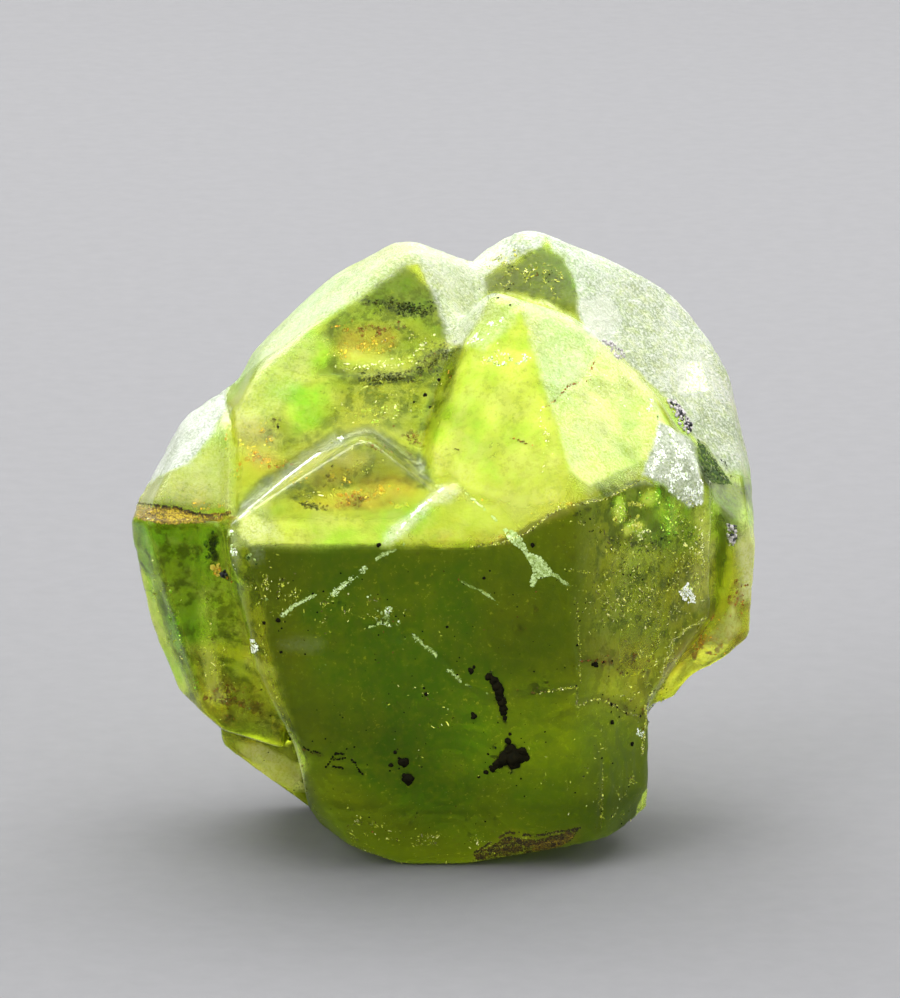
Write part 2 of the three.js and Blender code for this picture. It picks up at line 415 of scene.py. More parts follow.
# How yellow it is, from green at 0 to yellow brown at 1
YELLOWED = [
    (0.05, 40, [(320, 560), (470, 560), (500, 680), (470, 860), (360, 850), (330, 700), (270, 640)]),
    (0.65, 60, [(520, 560), (720, 520), (700, 640), (650, 790), (620, 840), (560, 860), (540, 700)]),
    (0.9, 30, [(296, 780), (360, 790), (460, 850), (560, 850), (540, 880), (330, 860)]),
    (0.8, 30, [(240, 560), (290, 560), (320, 720), (300, 760), (260, 680)]),
    (0.1, 20, [(136, 520), (215, 520), (215, 600), (180, 660), (140, 580)]),
    (0.75, 16, [(134, 500), (170, 470), (215, 440), (232, 450), (232, 508), (180, 506)]),
    (0.3, 10, FAR_LEFT_RIM), (0.95, 20, [(190, 650), (262, 640), (280, 720), (200, 730)]),
    (0.9, 26, [(232, 420), (290, 420), (330, 440), (300, 480), (240, 490)]),
    (0.0, 18, [(306, 332), (334, 336), (330, 372), (308, 374)]),
    (0.0, 22, [(286, 384), (324, 384), (330, 430), (296, 432)]),
    (0.3, 20, [(262, 362), (306, 334), (310, 370), (262, 410)]),
    (0.2, 20, [(376, 286), (401, 272), (430, 295), (440, 333), (400, 326), (345, 322)]),
    (0.6, 20, [(335, 330), (410, 322), (430, 350), (345, 368)]), (0.3, 20, REAR_RIGHT_PANE),
    (0.8, 24, [(340, 396), (424, 384), (424, 440), (340, 436)]),
    (0.95, 24, [(290, 470), (345, 444), (410, 460), (428, 500), (300, 512)]),
    (0.45, 16, [(240, 512), (380, 514), (380, 545), (240, 545)]),
    (0.75, 30, [(430, 440), (520, 500), (560, 500), (500, 545), (430, 530)]),
    (0.35, 30, [(430, 400), (470, 345), (520, 330), (540, 420), (500, 470), (440, 450)]),
    (0.15, 26, [(655, 480), (700, 500), (690, 560), (640, 540)]), (0.35, 6, oval(632, 508, 26, 20, -20)),
    (0.9, 24, [(680, 560), (760, 520), (760, 660), (660, 700)]),
    (0.2, 20, [(690, 440), (760, 470), (760, 520), (720, 540)]),
]
# Where the skin is milky and painted pale and bright: a painted glow of the light that shines through the
# crystal
MILKY_AND_PAINTED_GLOW = [
    (0.5, 14, [(516, 300), (530, 330), (548, 400), (572, 470), (560, 500), (520, 505), (470, 490),
        (440, 470), (436, 440), (450, 400), (470, 350), (490, 318)]),
    (0.85, 5, MIDDLE_RIGHT_FACE), (1.0, 8, MIDDLE_TIP_FACET), (0.9, 14, oval(506, 360, 28, 8, -5)),
    (1.0, 14, [(630, 372), (655, 392), (668, 425), (655, 450), (636, 440), (638, 400)]),
    (0.6, 8, [(530, 294), (516, 294), (484, 312), (468, 341), (455, 380), (441, 418), (430, 450),
        (432, 476), (441, 480), (441, 450), (452, 420), (464, 382), (476, 345), (488, 320), (520, 302)]),
    (0.5, 10, [(245, 520), (400, 520), (395, 545), (245, 545)]), (0.8, 8, oval(250, 528, 14, 16)),
    (0.3, 14, oval(355, 458, 22, 10)),
    (0.35, 10, [(455, 500), (500, 505), (520, 530), (480, 545), (400, 546), (430, 512)]),
    (0.45, 10, LEFT_PANE),
    (0.45, 20, [(294, 382), (324, 372), (338, 398), (330, 428), (298, 438), (280, 414)]),
    (0.5, 16, oval(318, 352, 12, 20)),
    (0.45, 18, [(345, 350), (405, 358), (438, 342), (428, 358), (400, 372), (340, 370)]),
    (0.15, 16, oval(360, 420, 50, 20)), (0.3, 16, oval(262, 440, 20, 24)),
    (0.7, 14, [(738, 500), (766, 500), (766, 600), (740, 600)]), *[(1.0, 6, glowing_flaw) for glowing_flaw in LIME_FLAWS_GLOWING],
    (0.45, 14, oval(672, 515, 14, 18)), (0.5, 7, oval(643, 537, 7, 4)), (0.25, 14, oval(636, 556, 26, 10)),
    (0.55, 6, [(694, 512), (706, 492), (718, 500), (722, 530), (712, 562), (696, 560)]),
    (0.35, 10, oval(700, 584, 10, 26)),
    (0.95, 6, [(236, 738), (262, 742), (302, 765), (304, 792), (290, 792), (262, 775), (240, 752)]),
    (0.5, 8, [(700, 650), (735, 600), (745, 625), (722, 660), (690, 680), (664, 700), (668, 680)]),
    (0.75, 6, FAR_LEFT_RIM), (0.45, 8, LEFT_STREAK),
    (0.4, 12, [(132, 492), (180, 470), (215, 446), (230, 460), (232, 505), (180, 503), (134, 498)]),
    (0.7, 8, SMALL_LEFT_EDGE),
]
# Painted shade: where it is darker still
PAINTED_SHADE_REGIONS = [
    (0.75, 16, [(296, 790), (340, 800), (460, 808), (590, 800), (640, 790), (640, 840), (560, 880),
        (330, 880)]),
    (0.35, 14, [(236, 548), (380, 550), (500, 548), (500, 580), (400, 590), (240, 600)]), (0.95, 4, GROOVE),
    (1.0, 3, [(207, 531), (216, 530), (217, 546), (221, 560), (213, 562), (209, 548)]), (0.5, 4, ROOF_RIM),
    (0.45, 5, DARK_BAND), (0.3, 8, oval(232, 700, 26, 8, 10)), (0.35, 5, oval(218, 690, 8, 6)),
    (0.35, 5, oval(252, 706, 9, 5)),
    (0.3, 12, [(238, 548), (262, 546), (268, 600), (282, 660), (304, 740), (290, 752), (262, 680),
        (244, 600)]),
    (0.25, 24, [(440, 560), (540, 556), (560, 640), (520, 680), (440, 660)]),
]
# Where iron has stained it yellow to brown
STAINED = [
    (0.75, 14, [(690, 640), (738, 585), (760, 590), (756, 645), (720, 660), (690, 690), (660, 696),
        (664, 664)]),
    (0.95, 3, [(130, 504), (154, 506), (177, 510), (202, 517), (236, 512), (236, 518), (195, 521),
        (165, 522), (132, 518)]),
    (0.8, 12, oval(258, 462, 22, 12)), (0.5, 16, oval(250, 432, 16, 16)),
    (0.85, 14, oval(364, 342, 34, 15, -8)), (0.8, 10, oval(356, 502, 40, 9)),
    (0.7, 12, oval(386, 486, 30, 12, 10)), (0.5, 16, oval(340, 470, 30, 12, -30)),
    (0.5, 12, [(430, 530), (500, 535), (560, 505), (600, 492), (570, 512), (500, 545), (430, 545)]),
    (0.35, 20, [(200, 680), (262, 680), (270, 720), (196, 716)]),
    (0.4, 10, [(473, 853), (508, 830), (535, 837), (582, 827), (577, 840), (535, 858), (473, 864)]),
    (0.3, 30, [(590, 640), (660, 640), (650, 720), (600, 700)]),
]


def painted(value, regions, pixels):
    """A value over the skin, with the regions laid over it in turn where the viewer sees it."""
    for wanted, feather, outline in regions:
        value = value + (wanted - value) * inside(pixels, outline, feather) * visible
    return value


def astray(pixels, size, seed):
    """How far each point's place in the picture is moved to make the edges of regions uneven."""
    across, down = (layered_noise(points, size, number) for number in (seed, seed + 10))
    return pixels * np.stack([across, down], axis=-1)


# In the noise below, the first number is its size in millimetres, the second its seed, the third its layers
blotchy = layered_noise(points, 1.6, 33, 4)
streaky = layered_noise(points * [1.0, 1.0, 0.15], 0.9, 37, 3)
ragged = seen + astray(4.0, 0.9, 11)
cloudy = seen + astray(5.0, 1.3, 13)
unseen = 1.0 - visible
height = points[:, 2]
grown_height = ramp(GROWN_FROM, GROWN_UP, height)
grown = grown_height * ramp(0.0, 0.3, normals[:, 2] + 0.25 * blotchy)  # 1 on grown faces, 0 on breaks
steep = np.abs(normals[:, 0]) + 0.6 * np.maximum(normals[:, 1], 0)

# Fine strokes that fan out over the shoulder's foot: they are level at one row of the picture and lean more
# with each row further down
FAN_LEVEL = 640
FAN_SPREAD = 0.55  # degrees to a row
FAN_ROOT = (204, 660)
fan = np.radians(FAN_SPREAD * (seen[:, 1] - FAN_LEVEL))
reach, rise = (seen - FAN_ROOT).T
strokes = np.stack([
    0.12 * (reach * np.cos(fan) + rise * np.sin(fan)),
    rise * np.cos(fan) - reach * np.sin(fan),
    np.zeros(len(points)),
], axis=-1)
strokes = ramp(0.0, 0.5, layered_noise(strokes, 8.0, 43, 2))
strokes *= inside(seen, [(200, 600), (262, 610), (284, 706), (204, 706)], 16) * visible

frost_and_highlight = painted(grown * ramp(0.2, 0.6, steep + 0.3 * blotchy) * unseen, FROSTED_AND_HIGHLIT, ragged)
flank = ramp(-8.3, -9.0, points[:, 0])
# painted shade: the unseen sides darker low down, with the regions above laid over them
shade = painted(0.45 * (1 - ramp(10.5, 15.0, height)) * unseen, SHADED, ragged)
shade = np.clip(shade * (1 - 0.5 * ramp(0.05, 0.5, streaky) * flank - 0.6 * strokes), 0, 1)
yellow = painted(0.5 + 0.45 * layered_noise(points, 5.0, 35), YELLOWED, ragged)
# painted glow: the unseen grown faces high up paler, with the regions above laid over them
milky_and_painted_glow = painted(0.25 * grown_height * unseen, MILKY_AND_PAINTED_GLOW, cloudy)
milky_and_painted_glow = np.clip(milky_and_painted_glow * (1 + 0.9 * layered_noise(points, 0.9, 39, 3)), 0, 1)
# painted shade, darker towards the bottom on the unseen sides, with the regions above laid over it
painted_shade = painted(ramp(7.0, 2.0, height) * unseen, PAINTED_SHADE_REGIONS, ragged)
stain = painted(0.5 * ramp(0.1, 0.5, layered_noise(points, 5.0, 31)) * unseen, STAINED, ragged)
standing_out = ((points - from_neighbours(points)) * normals).sum(axis=1) / VOXEL
worn_and_shaded_edges = from_neighbours(ramp(0.03, 0.15, standing_out)[:, None])[:, 0]  # the edges are worn matt, and darkened with painted shade against the light they catch

# The relief of the skin, in millimetres along the way out

# Lips where the skin drops to a lower layer that rises back to it further on: the drop, how far on in pixels,
# and the lip's line, with the lower layer on its right hand as it runs
LIPS = [
    (0.10, 60, [(656, 724), (641, 717), (604, 700), (593, 699), (577, 707), (577, 687), (537, 693)]),
    (0.07, 34, [(466, 344), (437, 349), (410, 374), (317, 374), (300, 384)]),
    (0.04, 50, [(616, 352), (598, 357), (584, 380), (566, 389), (546, 410)]),
    (0.10, 30, [(668, 494), (642, 480), (604, 498), (560, 512), (500, 545)]),
]
# Lines that stand out from the skin, or are cut in it: height, width and line
CREASES = [
    (0.06, 12, [(705, 619), (673, 635), (668, 656), (661, 677), (649, 699), (645, 720)]),
    (-0.10, 9, [(366, 628), (386, 616)]), (-0.12, 9, [(413, 635), (437, 656), (462, 682), (488, 693)]),
    (-0.12, 10, [(138, 503), (154, 506), (177, 509), (202, 516), (220, 516), (233, 511)]),
    (-0.14, 10, [(222, 397), (229, 424), (236, 469), (233, 510)]),
    (-0.05, 8, [(550, 405), (566, 389), (580, 384), (598, 357)]), (-0.08, 9, [(603, 763), (600, 827)]),
    (-0.10, 10, [(377, 576), (386, 612), (398, 640)]),
]
rough_break = (1 - grown) * np.where(visible, 0.45, 1.0)  # the seen breaks are flatter
swell = 0.06 * layered_noise(points, 3.2, 41, 2) * grown
etch = cell_noise(points + 0.15 * layered_noise(points, 0.7, 47)[:, None], 0.5, 51)
pits = (0.02 * layered_noise(points, 0.4, 55, 2) - 0.05 * ramp(0.5, 0.12, etch)) * frost_and_highlight
conchoid = 0.22 * layered_noise(points, 4.5, 61, 3) * rough_break
steps = layered_noise(points, 3.6, 71, 2) * 4  # terraces, four to a full rise of the noise
terraced = 0.045 * (np.floor(steps) + ramp(0.35, 0.65, steps - np.floor(steps)) - steps) * (1 - grown)
grit = 0.012 * layered_noise(points, 0.5, 81, 2) + 0.02 * layered_noise(points, 1.1, 85, 2)
relief = swell + pits + conchoid + terraced + grit
for drop, fade, line in LIPS:
    relief -= drop * below_lip(ragged, line, fade) * visible
for rise, width, line in CREASES:
    relief += rise * near_line(ragged, line, width) * visible
off_seat = ramp(0.3, 1.2, points[:, 2])  # the foot stays flat
points = points + normals * (relief * off_seat)[:, None]
points[:, 2] = np.maximum(points[:, 2], 0.0)


def paint(ob, name, values):
    """Gives each point of a mesh a number that its material reads by this name."""
    layer = ob.data.attributes.new(name, "FLOAT", "POINT")
    layer.data.foreach_set("value", np.asarray(values, dtype=np.float32))


body = new_mesh("peridot_body", points, quads)
layers = {
    "frost_and_highlight": frost_and_highlight, "shade": shade, "yellow": yellow, "milky_and_painted_glow": milky_and_painted_glow,
    "painted_shade": painted_shade, "stain": stain, "worn_and_shaded_edges": worn_and_shaded_edges,
}
for layer_name, layer_values in layers.items():
    paint(body, layer_name, layer_values)


# Materials


class Nodes:
    """A short way to build a node material."""

    def __init__(self, name):
        self.material = bpy.data.materials.new(name)
        self.material.use_nodes = True
        self.tree = self.material.node_tree
        self.tree.nodes.clear()
        self.out = self.tree.nodes.new("ShaderNodeOutputMaterial")

    def add(self, kind, settings=None, **inputs):
        node = self.tree.nodes.new(kind)
        for key, value in (settings or {}).items():
            setattr(node, key, value)
        for key, value in inputs.items():
            self.feed(node.inputs[key.replace("_", " ")], value)
        return node

    def feed(self, socket, value):
        """Links a socket to another's output, or sets its number or colour."""
        if isinstance(value, bpy.types.NodeSocket):
            self.tree.links.new(value, socket)
        else:
            socket.default_value = (*value, 1) if socket.type == "RGBA" else value

    def principled(self, **inputs):
        shader = self.add("ShaderNodeBsdfPrincipled", **inputs)
        self.tree.links.new(shader.outputs[0], self.out.inputs["Surface"])
        return shader

    def attribute(self, name):
        return self.add("ShaderNodeAttribute", {"attribute_name": name}).outputs["Fac"]

    def mix(self, factor, a, b):
        node = self.add("ShaderNodeMix", {"data_type": "RGBA"}, Factor=factor)
        self.feed(node.inputs[6], a)
        self.feed(node.inputs[7], b)
        return node.outputs[2]

    def math(self, operation, a, b, clamp=False):
        node = self.add("ShaderNodeMath", {"operation": operation, "use_clamp": clamp})
        self.feed(node.inputs[0], a)
        self.feed(node.inputs[1], b)
        return node.outputs[0]

    def times(self, a, b, clamp=False):
        return self.math("MULTIPLY", a, b, clamp)

    def place(self):
        return self.add("ShaderNodeTexCoord").outputs["Object"]

    def noise(self, scale, detail=4.0, roughness=0.6, distortion=0.0):
        settings = {"Scale": scale, "Detail": detail, "Roughness": roughness, "Distortion": distortion}
        return self.add("ShaderNodeTexNoise", Vector=self.place(), **settings).outputs["Fac"]

    def cells(self, scale):
        """The distance to the middle of the nearest of many small cells."""
        return self.add("ShaderNodeTexVoronoi", Vector=self.place(), Scale=scale).outputs["Distance"]

    def ramp(self, value, stops):
        """A colour that runs through the stops as value rises from 0 to 1."""
        node = self.add("ShaderNodeValToRGB", Fac=value)
        elements = node.color_ramp.elements
        while len(elements) < len(stops):
            elements.new(0.5)
        for element, (place, colour) in zip(elements, stops):
            element.position = place
            element.color = (*colour, 1)
        return node.outputs["Color"]

    def span(self, value, low, high, to_low=0.0, to_high=1.0):
        """A number that goes smoothly from to_low to to_high as value rises from low to high."""
        ends = {"From_Min": low, "From_Max": high, "To_Min": to_low, "To_Max": to_high}
        node = self.add("ShaderNodeMapRange", {"interpolation_type": "SMOOTHSTEP"}, Value=value, **ends)
        return node.outputs["Result"]


# the crystal's colour as lit where light gets through, then the darker olive it is painted in shade
CLEAR = [(0.0, (0.40, 0.97, 0.02)), (0.5, (0.80, 0.97, 0.06)), (1.0, (0.93, 0.90, 0.04))]
OLIVE_IN_SHADE = [(0.0, (0.045, 0.115, 0.001)), (0.5, (0.085, 0.125, 0.001)), (1.0, (0.120, 0.125, 0.001))]
MOSS_GREEN = (0.16, 0.21, 0.002)
PAINTED_GLOW = [(0.0, (0.60, 1.0, 0.04)), (0.5, (0.90, 1.0, 0.16)), (1.0, (1.0, 0.97, 0.40))]
RUST = [
    (0.38, (0.95, 0.85, 0.05)), (0.50, (0.85, 0.55, 0.04)),
    (0.58, (0.50, 0.25, 0.02)), (0.66, (0.15, 0.07, 0.005)),
]
ETCHED = [
    (0.00, (0.38, 0.44, 0.33)), (0.35, (0.66, 0.73, 0.62)),
    (0.65, (0.87, 0.91, 0.87)), (1.00, (1.00, 1.00, 1.00)),
]


def peridot_material():
    n = Nodes("peridot")
    frost_and_highlight, shade, milky_and_painted_glow = n.attribute("frost_and_highlight"), n.attribute("shade"), n.attribute("milky_and_painted_glow")
    cloud, fine = n.noise(350.0), n.noise(2600.0)
    grain = n.span(n.noise(8500.0, 3.0, 0.7), 0.34, 0.66)

    # where light gets through, painted as lit: green to yellow, with veils and a fine sand
    leaning = n.math("ADD", n.attribute("yellow"), n.span(cloud, 0.3, 0.7, -0.25, 0.25))
    veil = n.span(n.noise(600.0, 5.0, 0.75, 0.2), 0.46, 0.66, 0.0, 0.6)
    clear = n.mix(veil, n.ramp(leaning, CLEAR), (0.97, 1.0, 0.26))
    sand = n.span(n.noise(4200.0, 3.0, 0.7), 0.48, 0.62, 0.0, 0.55)
    clear = n.mix(n.times(sand, n.span(cloud, 0.4, 0.6, 0.3, 1.0)), clear, (0.34, 0.42, 0.008))

    # where it is dark behind, painted shade: a darker olive, mottled, with gold flecks
    mottle = n.span(n.noise(700.0, 4.0, 0.7), 0.42, 0.66, 0.0, 0.35)
    olive_in_shade = n.mix(mottle, n.ramp(leaning, OLIVE_IN_SHADE), MOSS_GREEN)
    olive_in_shade = n.mix(n.span(fine, 0.45, 0.75, 0.0, 0.45), olive_in_shade, MOSS_GREEN)
    gilt = n.span(n.noise(5200.0, 2.0, 0.8), 0.62, 0.70)
    olive_in_shade = n.mix(n.times(gilt, n.span(cloud, 0.40, 0.62, 0.1, 0.9)), olive_in_shade, (0.42, 0.40, 0.01))
    colour = n.mix(shade, clear, olive_in_shade)

    # murk in the half shade, then rust, darker where the painted shade is, the painted shade itself, and
    # grime
    murk = n.times(n.span(n.noise(1500.0, 4.0, 0.75), 0.46, 0.60), n.span(shade, 0.1, 0.5, 0.0, 0.85))
    murk = n.times(murk, n.span(shade, 0.8, 1.0, 1.0, 0.4))
    colour = n.mix(murk, colour, (0.07, 0.10, 0.003))
    rust = n.mix(n.times(shade, 0.6), n.ramp(n.noise(800.0, 4.0, 0.7), RUST), (0.10, 0.06, 0.002))
    colour = n.mix(n.times(n.attribute("stain"), n.span(fine, 0.3, 0.6, 0.5, 1.0)), colour, rust)
    colour = n.mix(n.times(n.attribute("painted_shade"), 0.8), colour, (0.025, 0.04, 0.0005))
    specks = n.span(n.cells(2400.0), 0.10, 0.26, 1.0, 0.0)
    colour = n.mix(n.times(specks, n.span(cloud, 0.5, 0.68, 0.0, 0.5)), colour, (0.05, 0.035, 0.002))

    # painted glow as of light scattered under the skin, worn edges darkened partly with painted shade, and
    # the etched skin
    colour = n.mix(n.times(milky_and_painted_glow, n.span(grain, 0.0, 0.7, 0.45, 1.0)), colour, n.ramp(leaning, PAINTED_GLOW))
    colour = n.mix(n.times(n.attribute("worn_and_shaded_edges"), 0.45), colour, (0.32, 0.34, 0.03))
    patch = n.span(n.noise(420.0, 4.0, 0.7), 0.35, 0.65, -0.28, 0.28)
    pale = n.ramp(n.math("ADD", grain, patch), ETCHED)
    colour = n.mix(n.times(frost_and_highlight, n.span(fine, 0.3, 0.6, 0.75, 1.0), clamp=True), colour, pale)
    # frost above 1 is painted highlight: the skin turns near white
    colour = n.mix(n.span(frost_and_highlight, 1.0, 1.5), colour, (0.97, 0.99, 0.90))

    rough = n.math("ADD", n.span(frost_and_highlight, 0.0, 1.0, 0.12, 0.42), n.span(fine, 0.3, 0.7, 0.0, 0.06))
    rough = n.math("MAXIMUM", rough, n.span(shade, 0.4, 1.0, 0.12, 0.5))
    height = n.math("ADD", fine, n.times(grain, n.span(frost_and_highlight, 0.0, 1.0, 0.15, 0.8)))
    strength = n.span(frost_and_highlight, 0.0, 1.0, 0.28, 0.7)
    bump = n.add("ShaderNodeBump", Height=height, Distance=0.00008, Strength=strength)

    shader = n.principled(Base_Color=colour, Roughness=rough, Normal=bump.outputs["Normal"])
    shader.inputs["IOR"].default_value = IOR
    shader.inputs["Transmission Weight"].default_value = 0.72
    through = n.span(n.math("MAXIMUM", frost_and_highlight, milky_and_painted_glow), 0.1, 1.0, 0.72, 0.5)
    n.feed(shader.inputs["Transmission Weight"], through)
    shader.inputs["Specular IOR Level"].default_value = 0.25
    shader.inputs["Specular Tint"].default_value = (0.35, 0.45, 0.15, 1)
    depth = n.add("ShaderNodeVolumeAbsorption", Color=(0.90, 0.965, 0.02), Density=150.0)
    n.tree.links.new(depth.outputs[0], n.out.inputs["Volume"])
    return n.material


body.data.materials.append(peridot_material())
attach(body, "root")
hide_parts(NODE)


# Places on and under the skin

skin_tree = BVHTree.FromPolygons(points.tolist(), quads.tolist())
PIXEL = 1 / PIXELS_PER_MM  # what a pixel of the picture spans at the cluster, in millimetres


def under_skin(pixels, depths):
    """The points that show at pixels of the picture and lie this deep under the skin there, and the ways out.

    The last array says which of the pixels see the cluster at all.
    """
    places, outward, found = [], [], []
    for (px, py), depth in zip(pixels, depths):
        way = sight_line(px, py)
        hit, normal, _, _ = skin_tree.ray_cast(Vector(EYE), Vector(way))
        found.append(hit is not None)
        if hit is None:
            continue
        hit, normal = np.array(hit), np.array(normal)
        cosine = max(-(way @ normal), 0.05)
        # the sight line bends as it enters the crystal
        bent = way / IOR + (cosine / IOR - math.sqrt(1 - (1 - cosine**2) / IOR**2)) * normal
        places.append(hit + bent * depth / -(bent @ normal))
        outward.append(normal)
    return np.reshape(places, (-1, 3)), np.reshape(outward, (-1, 3)), np.array(found)


CLEAR_OF_FLOOR = 1.5  # millimetres


def unseen_places(count, rng, least, deepest):
    """Random places under the parts of the skin that the viewer doesn't see, and the ways out."""
    pool = np.nonzero(~visible & (points[:, 2] > CLEAR_OF_FLOOR))[0]
    picked = rng.choice(pool, count)
    depth = rng.uniform(least, deepest, count)
    return points[picked] - normals[picked] * depth[:, None], normals[picked]


# Small closed shapes, many to a mesh


def frame_of(normal):
    """Two unit directions at right angles to each normal."""
    side = np.cross(normal, np.where(np.abs(normal[:, 2:]) < 0.9, [[0.0, 0.0, 1.0]], [[1.0, 0.0, 0.0]]))
    side /= np.linalg.norm(side, axis=1, keepdims=True)
    return side, np.cross(normal, side)


FLAKE_SIDES = 6
FLAKE_POINTS = FLAKE_SIDES + 2  # with the middle of its top and of its bottom


def flakes(places, facing, sizes, thickness, rng, long=1.0):
    """Thin, ragged plates that lie across the facing directions. Returns points and triangles."""
    count = len(places)
    u, v = frame_of(facing)
    spin = rng.uniform(0, 2 * math.pi, count)[:, None]
    u, v = u * np.cos(spin) + v * np.sin(spin), v * np.cos(spin) - u * np.sin(spin)
    turn = np.arange(FLAKE_SIDES) * 2 * math.pi / FLAKE_SIDES
    reach = sizes[:, None] * rng.uniform(0.55, 1.35, (count, FLAKE_SIDES))
    ring = places[:, None] + u[:, None] * (reach * long * np.cos(turn))[..., None]
    ring += v[:, None] * (reach * np.sin(turn))[..., None]
    half = facing * (sizes * thickness)[:, None]
    pts = np.concatenate([ring, (places + half)[:, None], (places - half)[:, None]], axis=1)
    here = np.arange(FLAKE_SIDES)
    ahead = (here + 1) % FLAKE_SIDES
    upper = np.stack([here, ahead, np.full(FLAKE_SIDES, FLAKE_SIDES)], axis=1)
    lower = np.stack([ahead, here, np.full(FLAKE_SIDES, FLAKE_SIDES + 1)], axis=1)
    faces = np.concatenate([upper, lower])[None] + (np.arange(count) * FLAKE_POINTS)[:, None, None]
    return pts.reshape(-1, 3), faces.reshape(-1, 3)


def patchy(part, tone, rng, spread=0.25):
    """A part of flakes, each with a tone of its own."""
    pts, tris = part
    return pts, tris, np.repeat(tone + rng.normal(0, spread, len(pts) // FLAKE_POINTS), FLAKE_POINTS)


def ball():
    """The points and triangles of a round ball of unit radius."""
    mesh = bmesh.new()
    bmesh.ops.create_icosphere(mesh, subdivisions=3, radius=1.0)
    pts = np.array([v.co for v in mesh.verts])
    tris = np.array([[v.index for v in f.verts] for f in mesh.faces])
    mesh.free()
    return pts, tris


BALL_POINTS, BALL_TRIS = ball()


def grains(places, sizes, seed, rough=0.45):
    """Lumpy grains. Returns points and triangles."""
    pts, tris = [], []
    for k, (place, size) in enumerate(zip(places, sizes)):
        lumps = 1 + rough * layered_noise(BALL_POINTS + 7.3 * k, 0.8, seed)  # each its own stretch of noise
        tris.append(BALL_TRIS + k * len(BALL_POINTS))
        pts.append(place + BALL_POINTS * (size * lumps)[:, None])
    return np.concatenate(pts), np.concatenate(tris)


def speck_material(name, stops, roughness, gloss=0.5):
    """A matt mineral whose colour runs through the stops with each speck's tone, mottled."""
    n = Nodes(name)
    fine = n.noise(6000.0, 3.0)
    tone = n.math("ADD", n.attribute("tone"), n.span(fine, 0.3, 0.7, -0.15, 0.15))
    rough = n.span(fine, 0.3, 0.7, roughness - 0.1, roughness + 0.1)
    bump = n.add("ShaderNodeBump", Height=fine, Distance=0.00004, Strength=0.4).outputs["Normal"]
    n.principled(Base_Color=n.ramp(tone, stops), Roughness=rough, Normal=bump, Specular_IOR_Level=gloss)
    return n.material


def add_specks(name, parts, material, smooth=False):
    """One mesh from many (points, triangles, tone for each point)."""
    pts, tris, tones, first = [], [], [], 0
    for part_points, part_tris, tone in parts:
        pts.append(part_points)
        tris.append(part_tris + first)
        tones.append(np.broadcast_to(tone, len(part_points)))
        first += len(part_points)
    ob = new_mesh(name, np.concatenate(pts), np.concatenate(tris), smooth)
    paint(ob, "tone", np.concatenate(tones))
    ob.data.materials.append(material)
    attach(ob, "root")
    return ob


# Black grains of spinel sealed under the skin: pixel x, y and radius
BLACK_GRAINS = [
    (404, 762, 5.2), (408, 778, 6.0), (391, 765, 2.4), (395, 752, 2.2), (399, 758, 1.6), (426, 694, 2.2),
    (424, 688, 1.2), (471, 671, 2.8), (474, 667, 1.8), (474, 716, 3.4), (488, 677, 3.4), (494, 681, 5.0),
    (497, 687, 5.4), (499, 692, 4.8), (500, 697, 4.6), (502, 703, 4.2), (503, 708, 3.8), (504, 713, 3.2),
    (505, 718, 2.4), (514, 757, 9.5), (506, 758, 8.0), (519, 756, 7.5), (510, 749, 6.4), (499, 763, 5.4),
    (493, 768, 3.6), (486, 772, 2.6), (479, 777, 1.7), (527, 754, 1.6), (508, 741, 3.4), (510, 734, 1.8),
    (488, 754, 1.4), (595, 664, 3.0), (603, 662, 1.8), (612, 661, 1.4), (632, 744, 2.4), (640, 716, 1.6),
    (626, 713, 1.2), (617, 707, 1.4), (611, 704, 1.8), (611, 712, 1.2), (612, 722, 2.6), (619, 717, 1.0),
    (278, 620, 2.4), (264, 623, 1.8), (224, 573, 2.6), (439, 380, 2.0), (425, 395, 2.2), (414, 402, 1.2),
    (430, 407, 1.6), (278, 427, 1.4), (533, 545, 2.4), (484, 578, 1.6), (379, 545, 2.4), (281, 652, 1.8),
    (290, 738, 2.6), (577, 645, 1.4), (498, 298, 1.4), (510, 305, 1.2), (447, 627, 1.4),
]
BUDDING = 2.6  # a grain with a larger radius has smaller ones grown on it
BUDS = 4
# Dark needles beside them: the ends of each, in pixels
NEEDLES = [
    ((303, 748), (320, 753)), ((326, 767), (336, 753)), ((334, 760), (345, 758)), ((333, 766), (342, 768)),
    ((336, 753), (343, 754)), ((690, 738), (697, 727)), ((352, 760), (362, 774)),
]


def make_black_grains():
    rng = np.random.default_rng(3)
    spots = [np.array(BLACK_GRAINS)]
    for start, end in NEEDLES:
        line = np.linspace(start, end, 9)
        line = line + rng.normal(0, 0.4, line.shape)
        spots.append(np.column_stack([line, rng.uniform(0.8, 1.4, len(line))]))
    dust = rng.uniform((260, 560), (650, 850), (170, 2))
    spots.append(np.column_stack([dust, rng.uniform(0.4, 1.1, len(dust))]))
    for x, y, radius in BLACK_GRAINS:
        if radius > BUDDING:
            turn = rng.uniform(0, 2 * math.pi, BUDS)
            away = radius * rng.uniform(0.4, 0.9, BUDS)
            budded = radius * rng.uniform(0.4, 0.7, BUDS)
            spots.append(np.column_stack([x + away * np.cos(turn), y + away * np.sin(turn), budded]))
    spots = np.concatenate(spots)
    sizes = spots[:, 2] * PIXEL
    places, _, found = under_skin(spots[:, :2], sizes * 0.35)
    hidden, _ = unseen_places(60, rng, 0.14, 0.6)
    sizes = np.concatenate([sizes[found], rng.uniform(1.0, 4.0, len(hidden)) * PIXEL])
    lumps = grains(np.concatenate([places, hidden]), sizes, 101)
    stops = [(0.0, (0.002, 0.003, 0.001)), (1.0, (0.02, 0.015, 0.005))]
    add_specks("black_grains", [(*lumps, 0.3)], speck_material("spinel_black", stops, 0.85, gloss=0.05), True)


make_black_grains()

